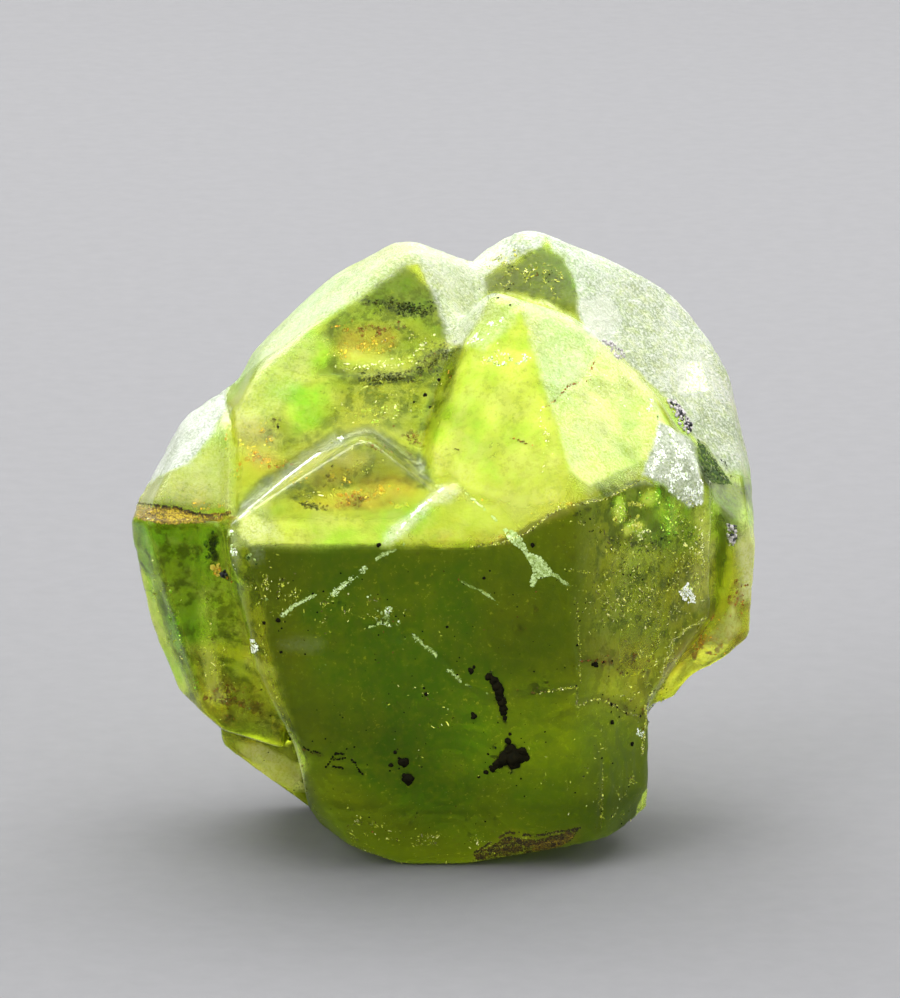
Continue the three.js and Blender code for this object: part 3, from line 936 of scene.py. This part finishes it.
# Clouds of fine flakes sealed in the crystal: pixel x and y, reach across and down, lean in degrees, how
# many, their radius in pixels, how deep in millimetres, and their tone
MOSS = [
    (411, 309, 15, 4.5, 0, 540, 1.5, 0.3, 0.1), (386, 303, 12, 4, 8, 156, 1.4, 0.3, 0.3),
    (360, 300, 16, 7, 0, 36, 1.2, 0.6, 0.5), (361, 331, 8, 3, -20, 78, 1.3, 0.4, 0.8),
    (379, 331, 6, 3, -20, 78, 1.3, 0.4, 0.8), (398, 327, 4, 3, 0, 36, 1.2, 0.4, 0.7),
    (386, 378, 18, 3.5, 0, 336, 1.4, 0.3, 0.3), (408, 371, 8, 3, -20, 54, 1.2, 0.5, 0.4),
    (433, 362, 15, 8, -40, 276, 1.4, 0.4, 0.35), (447, 352, 9, 5, -40, 72, 1.2, 0.6, 0.4),
    (411, 437, 9, 6, 30, 132, 1.4, 0.5, 0.7), (275, 425, 4, 4, 0, 30, 1.2, 0.4, 0.4),
    (314, 506, 9, 2.5, 3, 180, 1.3, 0.4, 0.4), (331, 476, 6, 5, -30, 48, 1.2, 0.5, 0.5),
    (352, 499, 13, 5, 0, 78, 1.3, 0.4, 0.9), (380, 447, 16, 4, 22, 72, 1.2, 0.4, 0.8),
    (458, 443, 8, 10, 0, 42, 1.2, 0.6, 0.5), (521, 441, 5, 1.5, 20, 30, 1.1, 0.3, 0.7),
    (601, 661, 11, 3, 0, 96, 1.2, 0.5, 0.9), (632, 668, 15, 12, 0, 114, 1.2, 0.5, 0.8),
    (538, 689, 12, 4, -5, 54, 1.2, 0.5, 0.6), (240, 702, 18, 8, 12, 156, 1.3, 0.5, 0.8),
    (222, 690, 10, 6, 0, 90, 1.3, 0.5, 0.9), (212, 545, 4, 8, 10, 132, 1.4, 0.4, 0.0),
    (712, 468, 10, 12, -45, 192, 1.4, 0.3, 0.1), (736, 592, 4, 9, 30, 72, 1.2, 0.4, 0.9),
    (512, 276, 16, 9, -20, 72, 1.0, 0.5, 0.3), (545, 275, 14, 10, 0, 54, 1.0, 0.5, 0.4),
    (590, 515, 12, 8, 0, 42, 1.2, 0.5, 0.3), (648, 545, 14, 7, 0, 102, 1.3, 0.6, 0.0),
    (620, 540, 20, 10, 0, 60, 1.2, 0.6, 0.2), (316, 753, 9, 2.5, 12, 42, 1.0, 0.3, 0.6),
    (635, 710, 12, 8, 25, 84, 1.1, 0.3, 0.7), (560, 600, 120, 60, 0, 156, 0.9, 0.8, 0.7),
    (420, 800, 90, 40, 0, 120, 0.9, 0.8, 0.7), (340, 640, 60, 50, 0, 72, 0.9, 0.8, 0.6),
    (700, 690, 8, 10, 40, 48, 1.1, 0.4, 0.8), (500, 760, 14, 7, 40, 96, 1.1, 0.5, 0.2),
    (498, 697, 5, 14, -20, 84, 1.0, 0.4, 0.3),
]
IRON = [
    (362, 346, 13, 5, -12, 57, 1.8, 0.6, 0.8), (342, 326, 7, 4, 0, 24, 1.5, 0.5, 0.45),
    (386, 345, 10, 5, -10, 39, 1.7, 0.6, 0.9), (395, 338, 3, 2, 0, 8, 1.3, 0.3, 0.4),
    (345, 356, 6, 3, -10, 13, 1.5, 0.5, 0.7), (256, 459, 8, 6, 0, 57, 1.7, 0.5, 0.5),
    (277, 465, 9, 3.5, 0, 39, 1.4, 0.4, 0.15), (262, 442, 12, 12, 0, 35, 1.7, 0.6, 0.9),
    (268, 432, 6, 5, 0, 13, 1.5, 0.5, 0.75), (352, 497, 9, 4, 0, 48, 1.6, 0.5, 0.5),
    (374, 490, 14, 7, 0, 35, 1.7, 0.5, 0.8), (348, 478, 12, 8, -20, 33, 1.8, 0.6, 1.0),
    (402, 500, 8, 6, 0, 19, 1.5, 0.5, 0.75), (449, 378, 2, 5, 10, 17, 1.2, 0.2, 0.35),
    (714, 632, 13, 16, 40, 48, 1.6, 0.5, 0.6), (736, 606, 5, 14, 10, 28, 1.4, 0.4, 0.25),
    (697, 651, 9, 7, 0, 26, 1.6, 0.5, 0.55), (215, 570, 3, 3, 0, 19, 1.4, 0.1, 0.45),
    (229, 585, 2, 7, -10, 13, 1.1, 0.2, 0.3), (229, 424, 3, 14, 8, 26, 1.2, 0.3, 0.5),
    (234, 470, 3, 12, 5, 17, 1.2, 0.3, 0.5), (210, 505, 14, 3, 3, 19, 1.3, 0.3, 0.7),
    (470, 505, 26, 8, 0, 13, 1.3, 0.9, 0.9), (560, 500, 20, 6, -25, 13, 1.3, 0.8, 0.7),
    (500, 535, 24, 4, -15, 13, 1.3, 0.8, 0.6), (300, 478, 8, 6, -30, 17, 1.5, 0.5, 0.8),
    (557, 398, 9, 0.8, -42, 57, 0.8, 0.1, 0.05), (575, 384, 9, 0.8, -18, 57, 0.8, 0.1, 0.1),
    (591, 369, 8, 0.8, -60, 57, 0.8, 0.1, 0.1), (521, 441, 6, 0.9, 20, 35, 1.1, 0.1, 0.1),
]
# Pale veils, their flakes painted bright lime to white: a painted glow of light through the crystal
GLOWING_VEILS = [
    (498, 356, 14, 6, -20, 128, 1.4, 0.6, 0.95), (546, 440, 5, 28, -8, 128, 1.3, 0.8, 0.95),
    (375, 366, 28, 3, -4, 176, 1.3, 0.5, 0.85), (424, 345, 12, 3, -40, 112, 1.3, 0.4, 0.8),
    (382, 414, 24, 9, 0, 96, 1.3, 0.7, 0.6), (620, 509, 5, 8, 10, 104, 2.0, 0.9, 0.5),
    (650, 498, 7, 6, 0, 104, 2.0, 0.9, 0.35), (634, 527, 6, 4, 20, 88, 1.7, 0.9, 0.6),
    (671, 520, 7, 11, 0, 224, 1.8, 0.5, 0.4), (641, 534, 5, 4, 0, 128, 1.6, 0.4, 0.8),
    (702, 545, 7, 16, 0, 240, 1.6, 0.5, 0.8), (690, 585, 8, 10, 20, 96, 1.4, 0.4, 0.7),
    (610, 385, 18, 20, 30, 112, 1.3, 0.4, 1.0), (178, 640, 5, 40, -14, 48, 1.1, 0.8, 0.2),
]
GLOWING_VEIL_TONES = [(0.0, (0.30, 0.90, 0.05)), (0.5, (0.80, 0.98, 0.12)), (1.0, (1.0, 1.0, 0.60))]
MOSS_TONES = [
    (0.0, (0.006, 0.016, 0.002)), (0.4, (0.05, 0.06, 0.004)), (0.7, (0.14, 0.09, 0.008)),
    (1.0, (0.26, 0.10, 0.015)),
]
IRON_TONES = [
    (0.0, (0.18, 0.06, 0.008)), (0.35, (0.55, 0.20, 0.015)), (0.65, (0.85, 0.50, 0.03)),
    (1.0, (0.97, 0.88, 0.08)),
]


def cloud_spots(x, y, across, down, lean, count, rng):
    """The pixels of a cloud's flakes. Four in five of them gather in clumps, one for every nine flakes."""
    reach = np.array([across, down])
    offsets = rng.normal(0, 1, (count, 2)) * reach * 0.75
    clumps = rng.normal(0, 1, (count // 9 + 1, 2)) * reach * 0.75
    gathered = rng.random(count) < 0.8
    near_clump = offsets * 0.16 + clumps[rng.integers(0, len(clumps), count)]
    offsets = np.where(gathered[:, None], near_clump, offsets)
    return leant(*offsets.T, lean) + (x, y)


def scattered(rng, facing, spread):
    """Directions near the facing ones."""
    way = facing + rng.normal(0, spread, facing.shape)
    return way / np.linalg.norm(way, axis=1, keepdims=True)


def seen_cloud(cloud, rng):
    """The flakes of one of the clouds that are placed by pixel."""
    size, deepest, tone = cloud[6:]
    spots = cloud_spots(*cloud[:6], rng)
    depths = 0.6 * deepest * rng.random(len(spots)) ** 2  # most lie close under the skin
    places, facing, found = under_skin(spots, depths)
    sizes = size * PIXEL * rng.lognormal(0, 0.55, len(places))
    sizes = np.minimum(sizes, 0.05 + depths[found] * 0.9)  # so that they hardly reach out of the skin
    part = flakes(places, scattered(rng, facing, 0.8), sizes, 0.25, rng)
    return patchy(part, tone, rng, 0.12)


def unseen_cloud(middle, way_out, rng):
    """The flakes of a cloud round a place under the skin."""
    count = rng.integers(60, 160)
    u, v = frame_of(way_out[None])
    offsets = rng.normal(0, 1, (count, 2)) * rng.uniform(0.2, 0.9, 2)
    nearest = [skin_tree.find_nearest(Vector(p)) for p in middle + offsets[:, :1] * u + offsets[:, 1:] * v]
    places, facing = (np.array([hit[k] for hit in nearest]) for k in (0, 1))
    depth = rng.uniform(0.05, 0.6, count)
    sizes = np.minimum(1.5 * PIXEL * rng.lognormal(0, 0.4, count), depth * 0.9)
    part = flakes(places - facing * depth[:, None], scattered(rng, facing, 0.8), sizes, 0.25, rng)
    return (*part, rng.uniform(0.2, 0.9))


def make_clouds(name, clouds, stops, seed, unseen_count):
    rng = np.random.default_rng(seed)
    parts = [seen_cloud(cloud, rng) for cloud in clouds]
    middles, ways_out = unseen_places(unseen_count, rng, 0.05, 0.8)
    parts += [unseen_cloud(middle, way_out, rng) for middle, way_out in zip(middles, ways_out)]
    add_specks(name, parts, speck_material(name, stops, 0.6, gloss=0.15))


make_clouds("moss_flakes", MOSS, MOSS_TONES, 5, 26)
make_clouds("iron_flakes", IRON, IRON_TONES, 6, 20)
make_clouds("veils_with_painted_glow", GLOWING_VEILS, GLOWING_VEIL_TONES, 7, 24)


# White scratches on the skin, and at the end painted highlights along two crystal edges: the width in pixels,
# how full and how white each is, and its line
SCRATCHES = [
    (3.0, 0.9, 0.55, [(282, 616), (292, 607), (303, 601), (315, 595)]),
    (4.2, 0.95, 0.62, [(331, 596), (340, 588), (352, 578), (366, 568)]),
    (3.0, 0.5, 0.4, [(366, 568), (380, 556), (394, 550), (404, 545)]),
    (2.0, 0.7, 0.4, [(366, 628), (378, 624), (386, 616)]),
    (2.0, 0.4, 0.3, [(386, 616), (392, 622), (401, 628)]),
    (3.2, 0.85, 0.4, [(413, 635), (422, 643), (430, 649), (438, 657)]),
    (3.2, 0.9, 0.45, [(448, 670), (454, 675), (461, 681)]),
    (1.4, 0.4, 0.2, [(465, 684), (478, 690), (488, 694)]),
    (2.8, 0.6, 0.4, [(482, 591), (489, 596), (497, 603)]),
    (2.0, 0.5, 0.2, [(462, 582), (474, 588), (482, 591)]),
    (2.5, 0.7, 0.4, [(555, 574), (562, 581), (568, 585)]),
    (1.6, 0.5, 0.5, [(229, 530), (232, 548), (234, 563)]),
    (2.5, 0.5, 0.4, [(247, 556), (254, 552), (262, 548)]),
    (1.5, 0.35, 0.3, [(262, 604), (268, 598), (277, 590)]), (1.8, 0.4, 0.6, [(364, 598), (372, 596)]),
    (1.6, 0.5, 0.5, [(462, 491), (480, 505), (494, 518), (504, 529)]),
    # painted highlights: the white streak along the front left crystal's bevel, and the one along the small
    # front crystal's left edge
    (1.8, 1.0, 1.2, [(319, 453), (296, 470), (276, 486), (262, 498)]),
    (2.4, 0.7, 0.9, [(262, 498), (250, 508), (240, 518)]),
    (2.6, 0.5, 0.9, [(444, 488), (424, 504), (404, 524), (392, 542)]),
]
# Crest lines that glitter: painted glints, bright flakes whose colour stands in for sparkle
GLINTING = [
    (2.2, 1.0, [(470, 547), (504, 543), (530, 531), (548, 516), (562, 507), (584, 503), (606, 499),
        (624, 490), (640, 480)]),
    (2.4, 2.2, [(705, 617), (697, 624), (686, 629), (678, 637), (671, 640), (673, 650), (665, 659),
        (662, 672), (665, 685)]),
    (2.0, 1.5, [(665, 685), (658, 690), (651, 693), (648, 702), (645, 707), (646, 720), (643, 741),
        (642, 755)]),
    (2.2, 0.6, [(537, 693), (556, 690), (577, 687), (577, 707), (593, 699), (604, 700), (625, 712),
        (641, 717)]),
    (1.8, 0.5, [(603, 763), (602, 790), (601, 827)]), (1.8, 0.4, [(577, 600), (579, 640), (580, 683)]),
    (1.6, 0.3, [(262, 640), (276, 700), (300, 752), (306, 790), (330, 838)]),
    (1.6, 0.5, [(600, 603), (640, 600), (668, 590), (690, 560)]),
    (2.4, 0.5, [(567, 570), (600, 574), (640, 566)]), (1.6, 0.5, [(470, 862), (520, 838), (560, 832)]),
    (1.4, 0.4, [(330, 838), (400, 862), (440, 866)]),
]
# Clouds of painted glints, bright flakes: pixel x and y, reach across and down, lean and how many
GLINT_CLOUDS = [
    (620, 600, 34, 22, -20, 420), (690, 560, 12, 40, 0, 300), (660, 660, 14, 30, 20, 180),
    (640, 690, 30, 10, 0, 120), (640, 550, 30, 14, 10, 260), (660, 610, 16, 30, 20, 260),
    (600, 770, 20, 40, 0, 110), (632, 800, 10, 24, 20, 70), (400, 838, 40, 10, 5, 150),
    (350, 830, 20, 16, 30, 90), (480, 846, 30, 8, -10, 60), (290, 600, 30, 30, 0, 110),
    (270, 580, 16, 12, 0, 60), (350, 620, 30, 16, 0, 60), (400, 700, 60, 50, 0, 50),
    (500, 770, 50, 40, 0, 40), (620, 510, 30, 20, 0, 60), (520, 276, 20, 10, -20, 160),
    (500, 262, 14, 5, -25, 120), (555, 280, 10, 16, 0, 70), (400, 405, 30, 20, 0, 70),
    (380, 345, 40, 16, 0, 60), (340, 470, 40, 20, -20, 70), (214, 660, 10, 40, -10, 110),
    (170, 620, 12, 50, -15, 70),
]
# Bright flaws just under the front face's top right, painted bright as a glow: how full, how bright and the
# outline
LIME_SPOTS = [(0.15, 0.55, oval(630, 515, 18, 18)), (0.15, 0.5, oval(702, 545, 7, 20))]
# The splinter lifted off below the small front crystal
SPLINTER = [
    (503, 528), (512, 531), (521, 537), (525, 545), (529, 552), (539, 556), (546, 563), (555, 575),
    (545, 577), (537, 579), (533, 587), (530, 583), (533, 571), (530, 562), (522, 550), (508, 539),
]
# Smooth films on the skin, each a tone and an outline: the splinter, a dark film of painted shade in the
# groove, and a white patch of painted highlight
FILMS = [
    (0.52, SPLINTER),
    (0.0, [(697, 438), (704, 445), (716, 462), (732, 484), (718, 484), (704, 478), (699, 460)]),
    (0.8, [(688, 362), (702, 363), (709, 391), (684, 393)]),
]
# Chips: how full, how white and the outline; the fourth is a painted highlight along the middle crystal's tip
CHIPS = [
    (1.0, 1.2, [(687, 583), (695, 595), (696, 603), (684, 603), (679, 592)]),
    (0.9, 1.1, [(250, 638), (258, 640), (258, 650), (252, 654)]),
    (0.9, 1.0, [(636, 728), (645, 732), (642, 738), (636, 734)]),
    (0.6, 0.9, [(466, 344), (484, 326), (499, 315), (505, 319), (484, 340)]),
    (0.2, 0.7, oval(505, 360, 26, 6, -5)), (0.45, 1.1, WHITE_FACET),
    (0.12, 0.75, [(632, 380), (654, 396), (664, 424), (650, 446), (640, 420)]),
    (0.6, 0.75, oval(340, 439, 3, 3)), (0.7, 0.7, oval(388, 611, 4, 5)),
    (0.3, 0.3, oval(387, 618, 14, 8, 20)), (0.3, 0.2, oval(255, 556, 9, 9)),
    (0.5, 0.8, oval(234, 550, 3, 20, -5)),
]


def along(line, step, stray, rng):
    """Points every step pixels along a line, each about stray pixels off it."""
    corners = np.array(line, dtype=float)
    lengths = np.linalg.norm(np.diff(corners, axis=0), axis=1)
    run = np.concatenate([[0], np.cumsum(lengths)])
    at = np.arange(0, run[-1], step)
    spots = np.column_stack([np.interp(at, run, corners[:, k]) for k in (0, 1)])
    return spots + rng.normal(0, stray, spots.shape)


def within(outline, count, rng):
    """Random pixels inside an outline."""
    corners = np.array(outline, dtype=float)
    spots = rng.uniform(corners.min(axis=0), corners.max(axis=0), (count * 4, 2))
    return spots[inside(spots, outline, 0.5) > 0.5][:count]


def area(outline):
    """How many pixels an outline holds."""
    corners = np.array(outline, dtype=float)
    ahead = np.roll(corners, -1, axis=0)
    return abs((corners[:, 0] * ahead[:, 1] - ahead[:, 0] * corners[:, 1]).sum()) / 2


def filling(outline, per_pixel, rng):
    """Random pixels inside an outline, so many to each pixel of it."""
    return within(outline, int(area(outline) * per_pixel), rng)


LIFT = 0.008  # how far flakes on the skin stand off it, in millimetres


def on_skin(spots, size, rng, spread=0.12, long=1.0):
    """Flakes that lie on the skin at pixels of the picture."""
    places, facing, _ = under_skin(spots, np.zeros(len(spots)))
    sizes = size * PIXEL * rng.lognormal(0, 0.35, len(places))
    return flakes(places + facing * LIFT, scattered(rng, facing, spread), sizes, 0.15, rng, long)


def film(outline, tone, rng, spread=0.05):
    """Flakes so thick on an outline that they make one smooth patch."""
    return patchy(on_skin(filling(outline, 1.4, rng), 0.8, rng, 0.03), tone, rng, spread)


def broken_up(spots, full):
    """The spots that are left when gaps open among them: nearly all for a full of 1, and few near 0."""
    noise = layered_noise(np.column_stack([spots, np.zeros(len(spots))]), 7.0, 151, 3)
    return spots[noise > 0.45 - 0.9 * full]


def make_bruises_and_painted_light():
    rng = np.random.default_rng(8)
    parts = []
    for width, full, white, line in SCRATCHES:
        spots = along(line, 0.12, width * 0.3, rng)
        parts.append(patchy(on_skin(broken_up(spots, full), 0.5, rng, 0.04), white, rng, 0.08))
    for full, white, outline in CHIPS:
        spots = filling(outline, 0.8, rng)
        parts.append(patchy(on_skin(broken_up(spots, full), 0.75, rng), white, rng))
    for tone, outline in FILMS:
        parts.append(film(outline, tone, rng))
    dots = rng.uniform((240, 550), (700, 850), (260, 2))
    parts.append((*on_skin(dots, 0.35, rng), 0.3))
    stops = [
        (0.0, (0.02, 0.05, 0.002)), (0.15, (0.12, 0.19, 0.02)), (0.4, (0.30, 0.42, 0.10)),
        (0.7, (0.62, 0.80, 0.36)), (1.0, (0.95, 1.0, 0.90)),
    ]
    add_specks("bruises_and_painted_light", parts, speck_material("bruised_skin_and_painted_light", stops, 0.6, gloss=0.15))


def make_glints():
    rng = np.random.default_rng(9)
    parts = []
    for full, tone, outline in LIME_SPOTS:
        spots = filling(outline, 0.9, rng)
        parts.append(patchy(on_skin(broken_up(spots, full), 0.9, rng, 0.25, 1.6), tone, rng, 0.15))
    for width, full, line in GLINTING:
        spots = along(line, 0.4 / full, width * 0.35, rng)
        parts.append(patchy(on_skin(spots, 0.5, rng, 0.5, 1.6), 0.22 + 0.15 * full, rng, 0.3))
    for cloud in GLINT_CLOUDS:
        parts.append(patchy(on_skin(cloud_spots(*cloud, rng), 0.42, rng, 0.5, 3.2), 0.4, rng, 0.3))
    stops = [
        (0.0, (0.10, 0.09, 0.005)), (0.3, (0.28, 0.34, 0.01)), (0.7, (0.62, 0.66, 0.05)),
        (1.0, (1.0, 0.98, 0.45)),
    ]
    add_specks("glints", parts, speck_material("glinting_edges", stops, 0.3))


make_bruises_and_painted_light()
make_glints()

# Crumbs of matrix in the groove on the right, the brown crust under the shoulder, and the chip at the foot


def make_matrix():
    rng = np.random.default_rng(10)
    parts = []
    beds = [
        (110, 1.1, 0.75, [(666, 398), (676, 400), (692, 424), (691, 436), (681, 428)]),
        (70, 1.0, 0.0, [(670, 402), (680, 406), (692, 426), (689, 432)]),
        (90, 0.8, 0.75, [(598, 340), (612, 342), (628, 356), (618, 360)]),
        (26, 1.0, 0.2, [(728, 522), (736, 522), (738, 536), (732, 544)]),
        (50, 1.0, 0.85, [(726, 520), (736, 528), (734, 546), (728, 545)]),
        (14, 0.9, 0.0, [(221, 568), (226, 570), (227, 579), (222, 577)]),
    ]
    for count, size, tone, outline in beds:
        spots = within(outline, count, rng)
        sizes = size * PIXEL * rng.lognormal(0, 0.35, len(spots))
        places, facing, found = under_skin(spots, np.zeros(len(spots)))
        lumps = grains(places + facing * (sizes[found] * 0.3)[:, None], sizes[found], 131, 0.5)
        parts.append((*lumps, tone))
    stops = [
        (0.0, (0.006, 0.007, 0.01)), (0.4, (0.10, 0.10, 0.11)), (0.75, (0.48, 0.45, 0.45)),
        (1.0, (0.80, 0.76, 0.72)),
    ]
    add_specks("matrix_crumbs", parts, speck_material("matrix", stops, 0.8), True)


LEDGE = [
    (137, 505), (154, 506), (177, 509), (202, 515), (234, 511), (222, 519), (195, 523), (165, 524),
    (138, 519),
]
FOOT_CHIP = [(474, 855), (508, 836), (535, 840), (578, 830), (570, 842), (535, 854), (500, 862), (478, 860)]


def make_crust():
    rng = np.random.default_rng(12)
    parts = []
    beds = [
        (0.32, LEDGE),
        (0.5, [(160, 511), (177, 512), (198, 517), (190, 521), (168, 521)]),
        (0.05, FOOT_CHIP),
        (0.3, [(530, 846), (560, 838), (576, 834), (562, 846), (536, 854)]),
        (0.55, [(213, 566), (219, 564), (221, 570), (219, 577), (215, 574)]),
    ]
    for tone, outline in beds:
        parts.append(film(outline, tone, rng, 0.12))
    cracks = [
        [(136, 503), (154, 505), (177, 508), (202, 515), (220, 516), (236, 511)],
        [(474, 853), (508, 832), (535, 836), (580, 828)],
    ]
    for line in cracks:
        spots = along(line, 0.3, 0.6, rng)
        parts.append((*on_skin(broken_up(spots, 0.8), 0.8, rng, spread=0.3), 0.0))
    stops = [
        (0.0, (0.03, 0.018, 0.002)), (0.3, (0.17, 0.11, 0.004)), (0.6, (0.48, 0.36, 0.01)),
        (1.0, (0.85, 0.70, 0.10)),
    ]
    add_specks("brown_crust", parts, speck_material("iron_crust", stops, 0.7))


make_matrix()
make_crust()


# The stage

FLOOR = 900.0  # how far the floor reaches to the sides and to the front, and how high its wall is
BEND_Y = 420.0  # where it starts to bend up
BEND_RADIUS = 120.0
BEND_STEPS = 12


def make_floor():
    """A level floor that sweeps up behind into a wall."""
    profile = [(-FLOOR, 0.0)]
    for k in range(BEND_STEPS + 1):
        turn = math.pi / 2 * k / BEND_STEPS
        profile.append((BEND_Y + BEND_RADIUS * math.sin(turn), BEND_RADIUS * (1 - math.cos(turn))))
    profile.append((BEND_Y + BEND_RADIUS, FLOOR))
    pts = [(side * FLOOR, y, z) for y, z in profile for side in (-1, 1)]
    faces = [(2 * k, 2 * k + 1, 2 * k + 3, 2 * k + 2) for k in range(len(profile) - 1)]
    ob = new_mesh("floor", pts, faces)
    n = Nodes("pale_floor")
    grey = n.mix(n.noise(900.0, 5.0), (0.17, 0.17, 0.175), (0.195, 0.195, 0.2))
    n.principled(Base_Color=grey, Roughness=0.9, Specular_IOR_Level=0.0)
    ob.data.materials.append(n.material)


make_floor()

# Soft lights: where each is, where it aims, its width and height, and its power in watts
LIGHTS = {
    "key_light": ((-110, 200, 210), (0, 0, 12), (240, 200), 0.4),
    "top_light": ((0, 40, 280), (0, 0, 12), (440, 440), 2.15),
    "right_light": ((190, 110, 160), (0, 0, 12), (160, 160), 0.3),
    "back_light": ((0, 330, 250), (0, 0, 20), (520, 300), 1.6),
    "left_fill": ((-200, -170, 150), (0, 0, 12), (220, 220), 0.8),
    "right_fill": ((230, -160, 90), (0, 0, 12), (200, 200), 0.4),
}
scene = bpy.context.scene
for light_name, (place, aim, size, power) in LIGHTS.items():
    light = bpy.data.lights.new(light_name, "AREA")
    light.shape = "RECTANGLE"
    light.size, light.size_y = size[0] * MM, size[1] * MM
    light.energy = power
    lamp = bpy.data.objects.new(light_name, light)
    lamp.location = Vector(place) * MM
    lamp.rotation_euler = (Vector(aim) - Vector(place)).to_track_quat("-Z", "Y").to_euler()
    scene.collection.objects.link(lamp)

world = bpy.data.worlds.new("studio")
world.use_nodes = True
background = world.node_tree.nodes["Background"]
background.inputs["Color"].default_value = (0.75, 0.78, 0.82, 1)
background.inputs["Strength"].default_value = 0.12
scene.world = world
scene.view_settings.view_transform = "Standard"

camera_data = bpy.data.cameras.new("camera")
camera_data.sensor_fit = "HORIZONTAL"
camera_data.sensor_width = SENSOR
camera_data.lens = LENS
camera_data.clip_start = 10 * MM
camera_data.clip_end = 5000 * MM
camera = bpy.data.objects.new("camera", camera_data)
camera.location = Vector(EYE) * MM
camera.rotation_euler = (math.pi / 2 - CAMERA_UP, 0, 0)
scene.collection.objects.link(camera)
scene.camera = camera
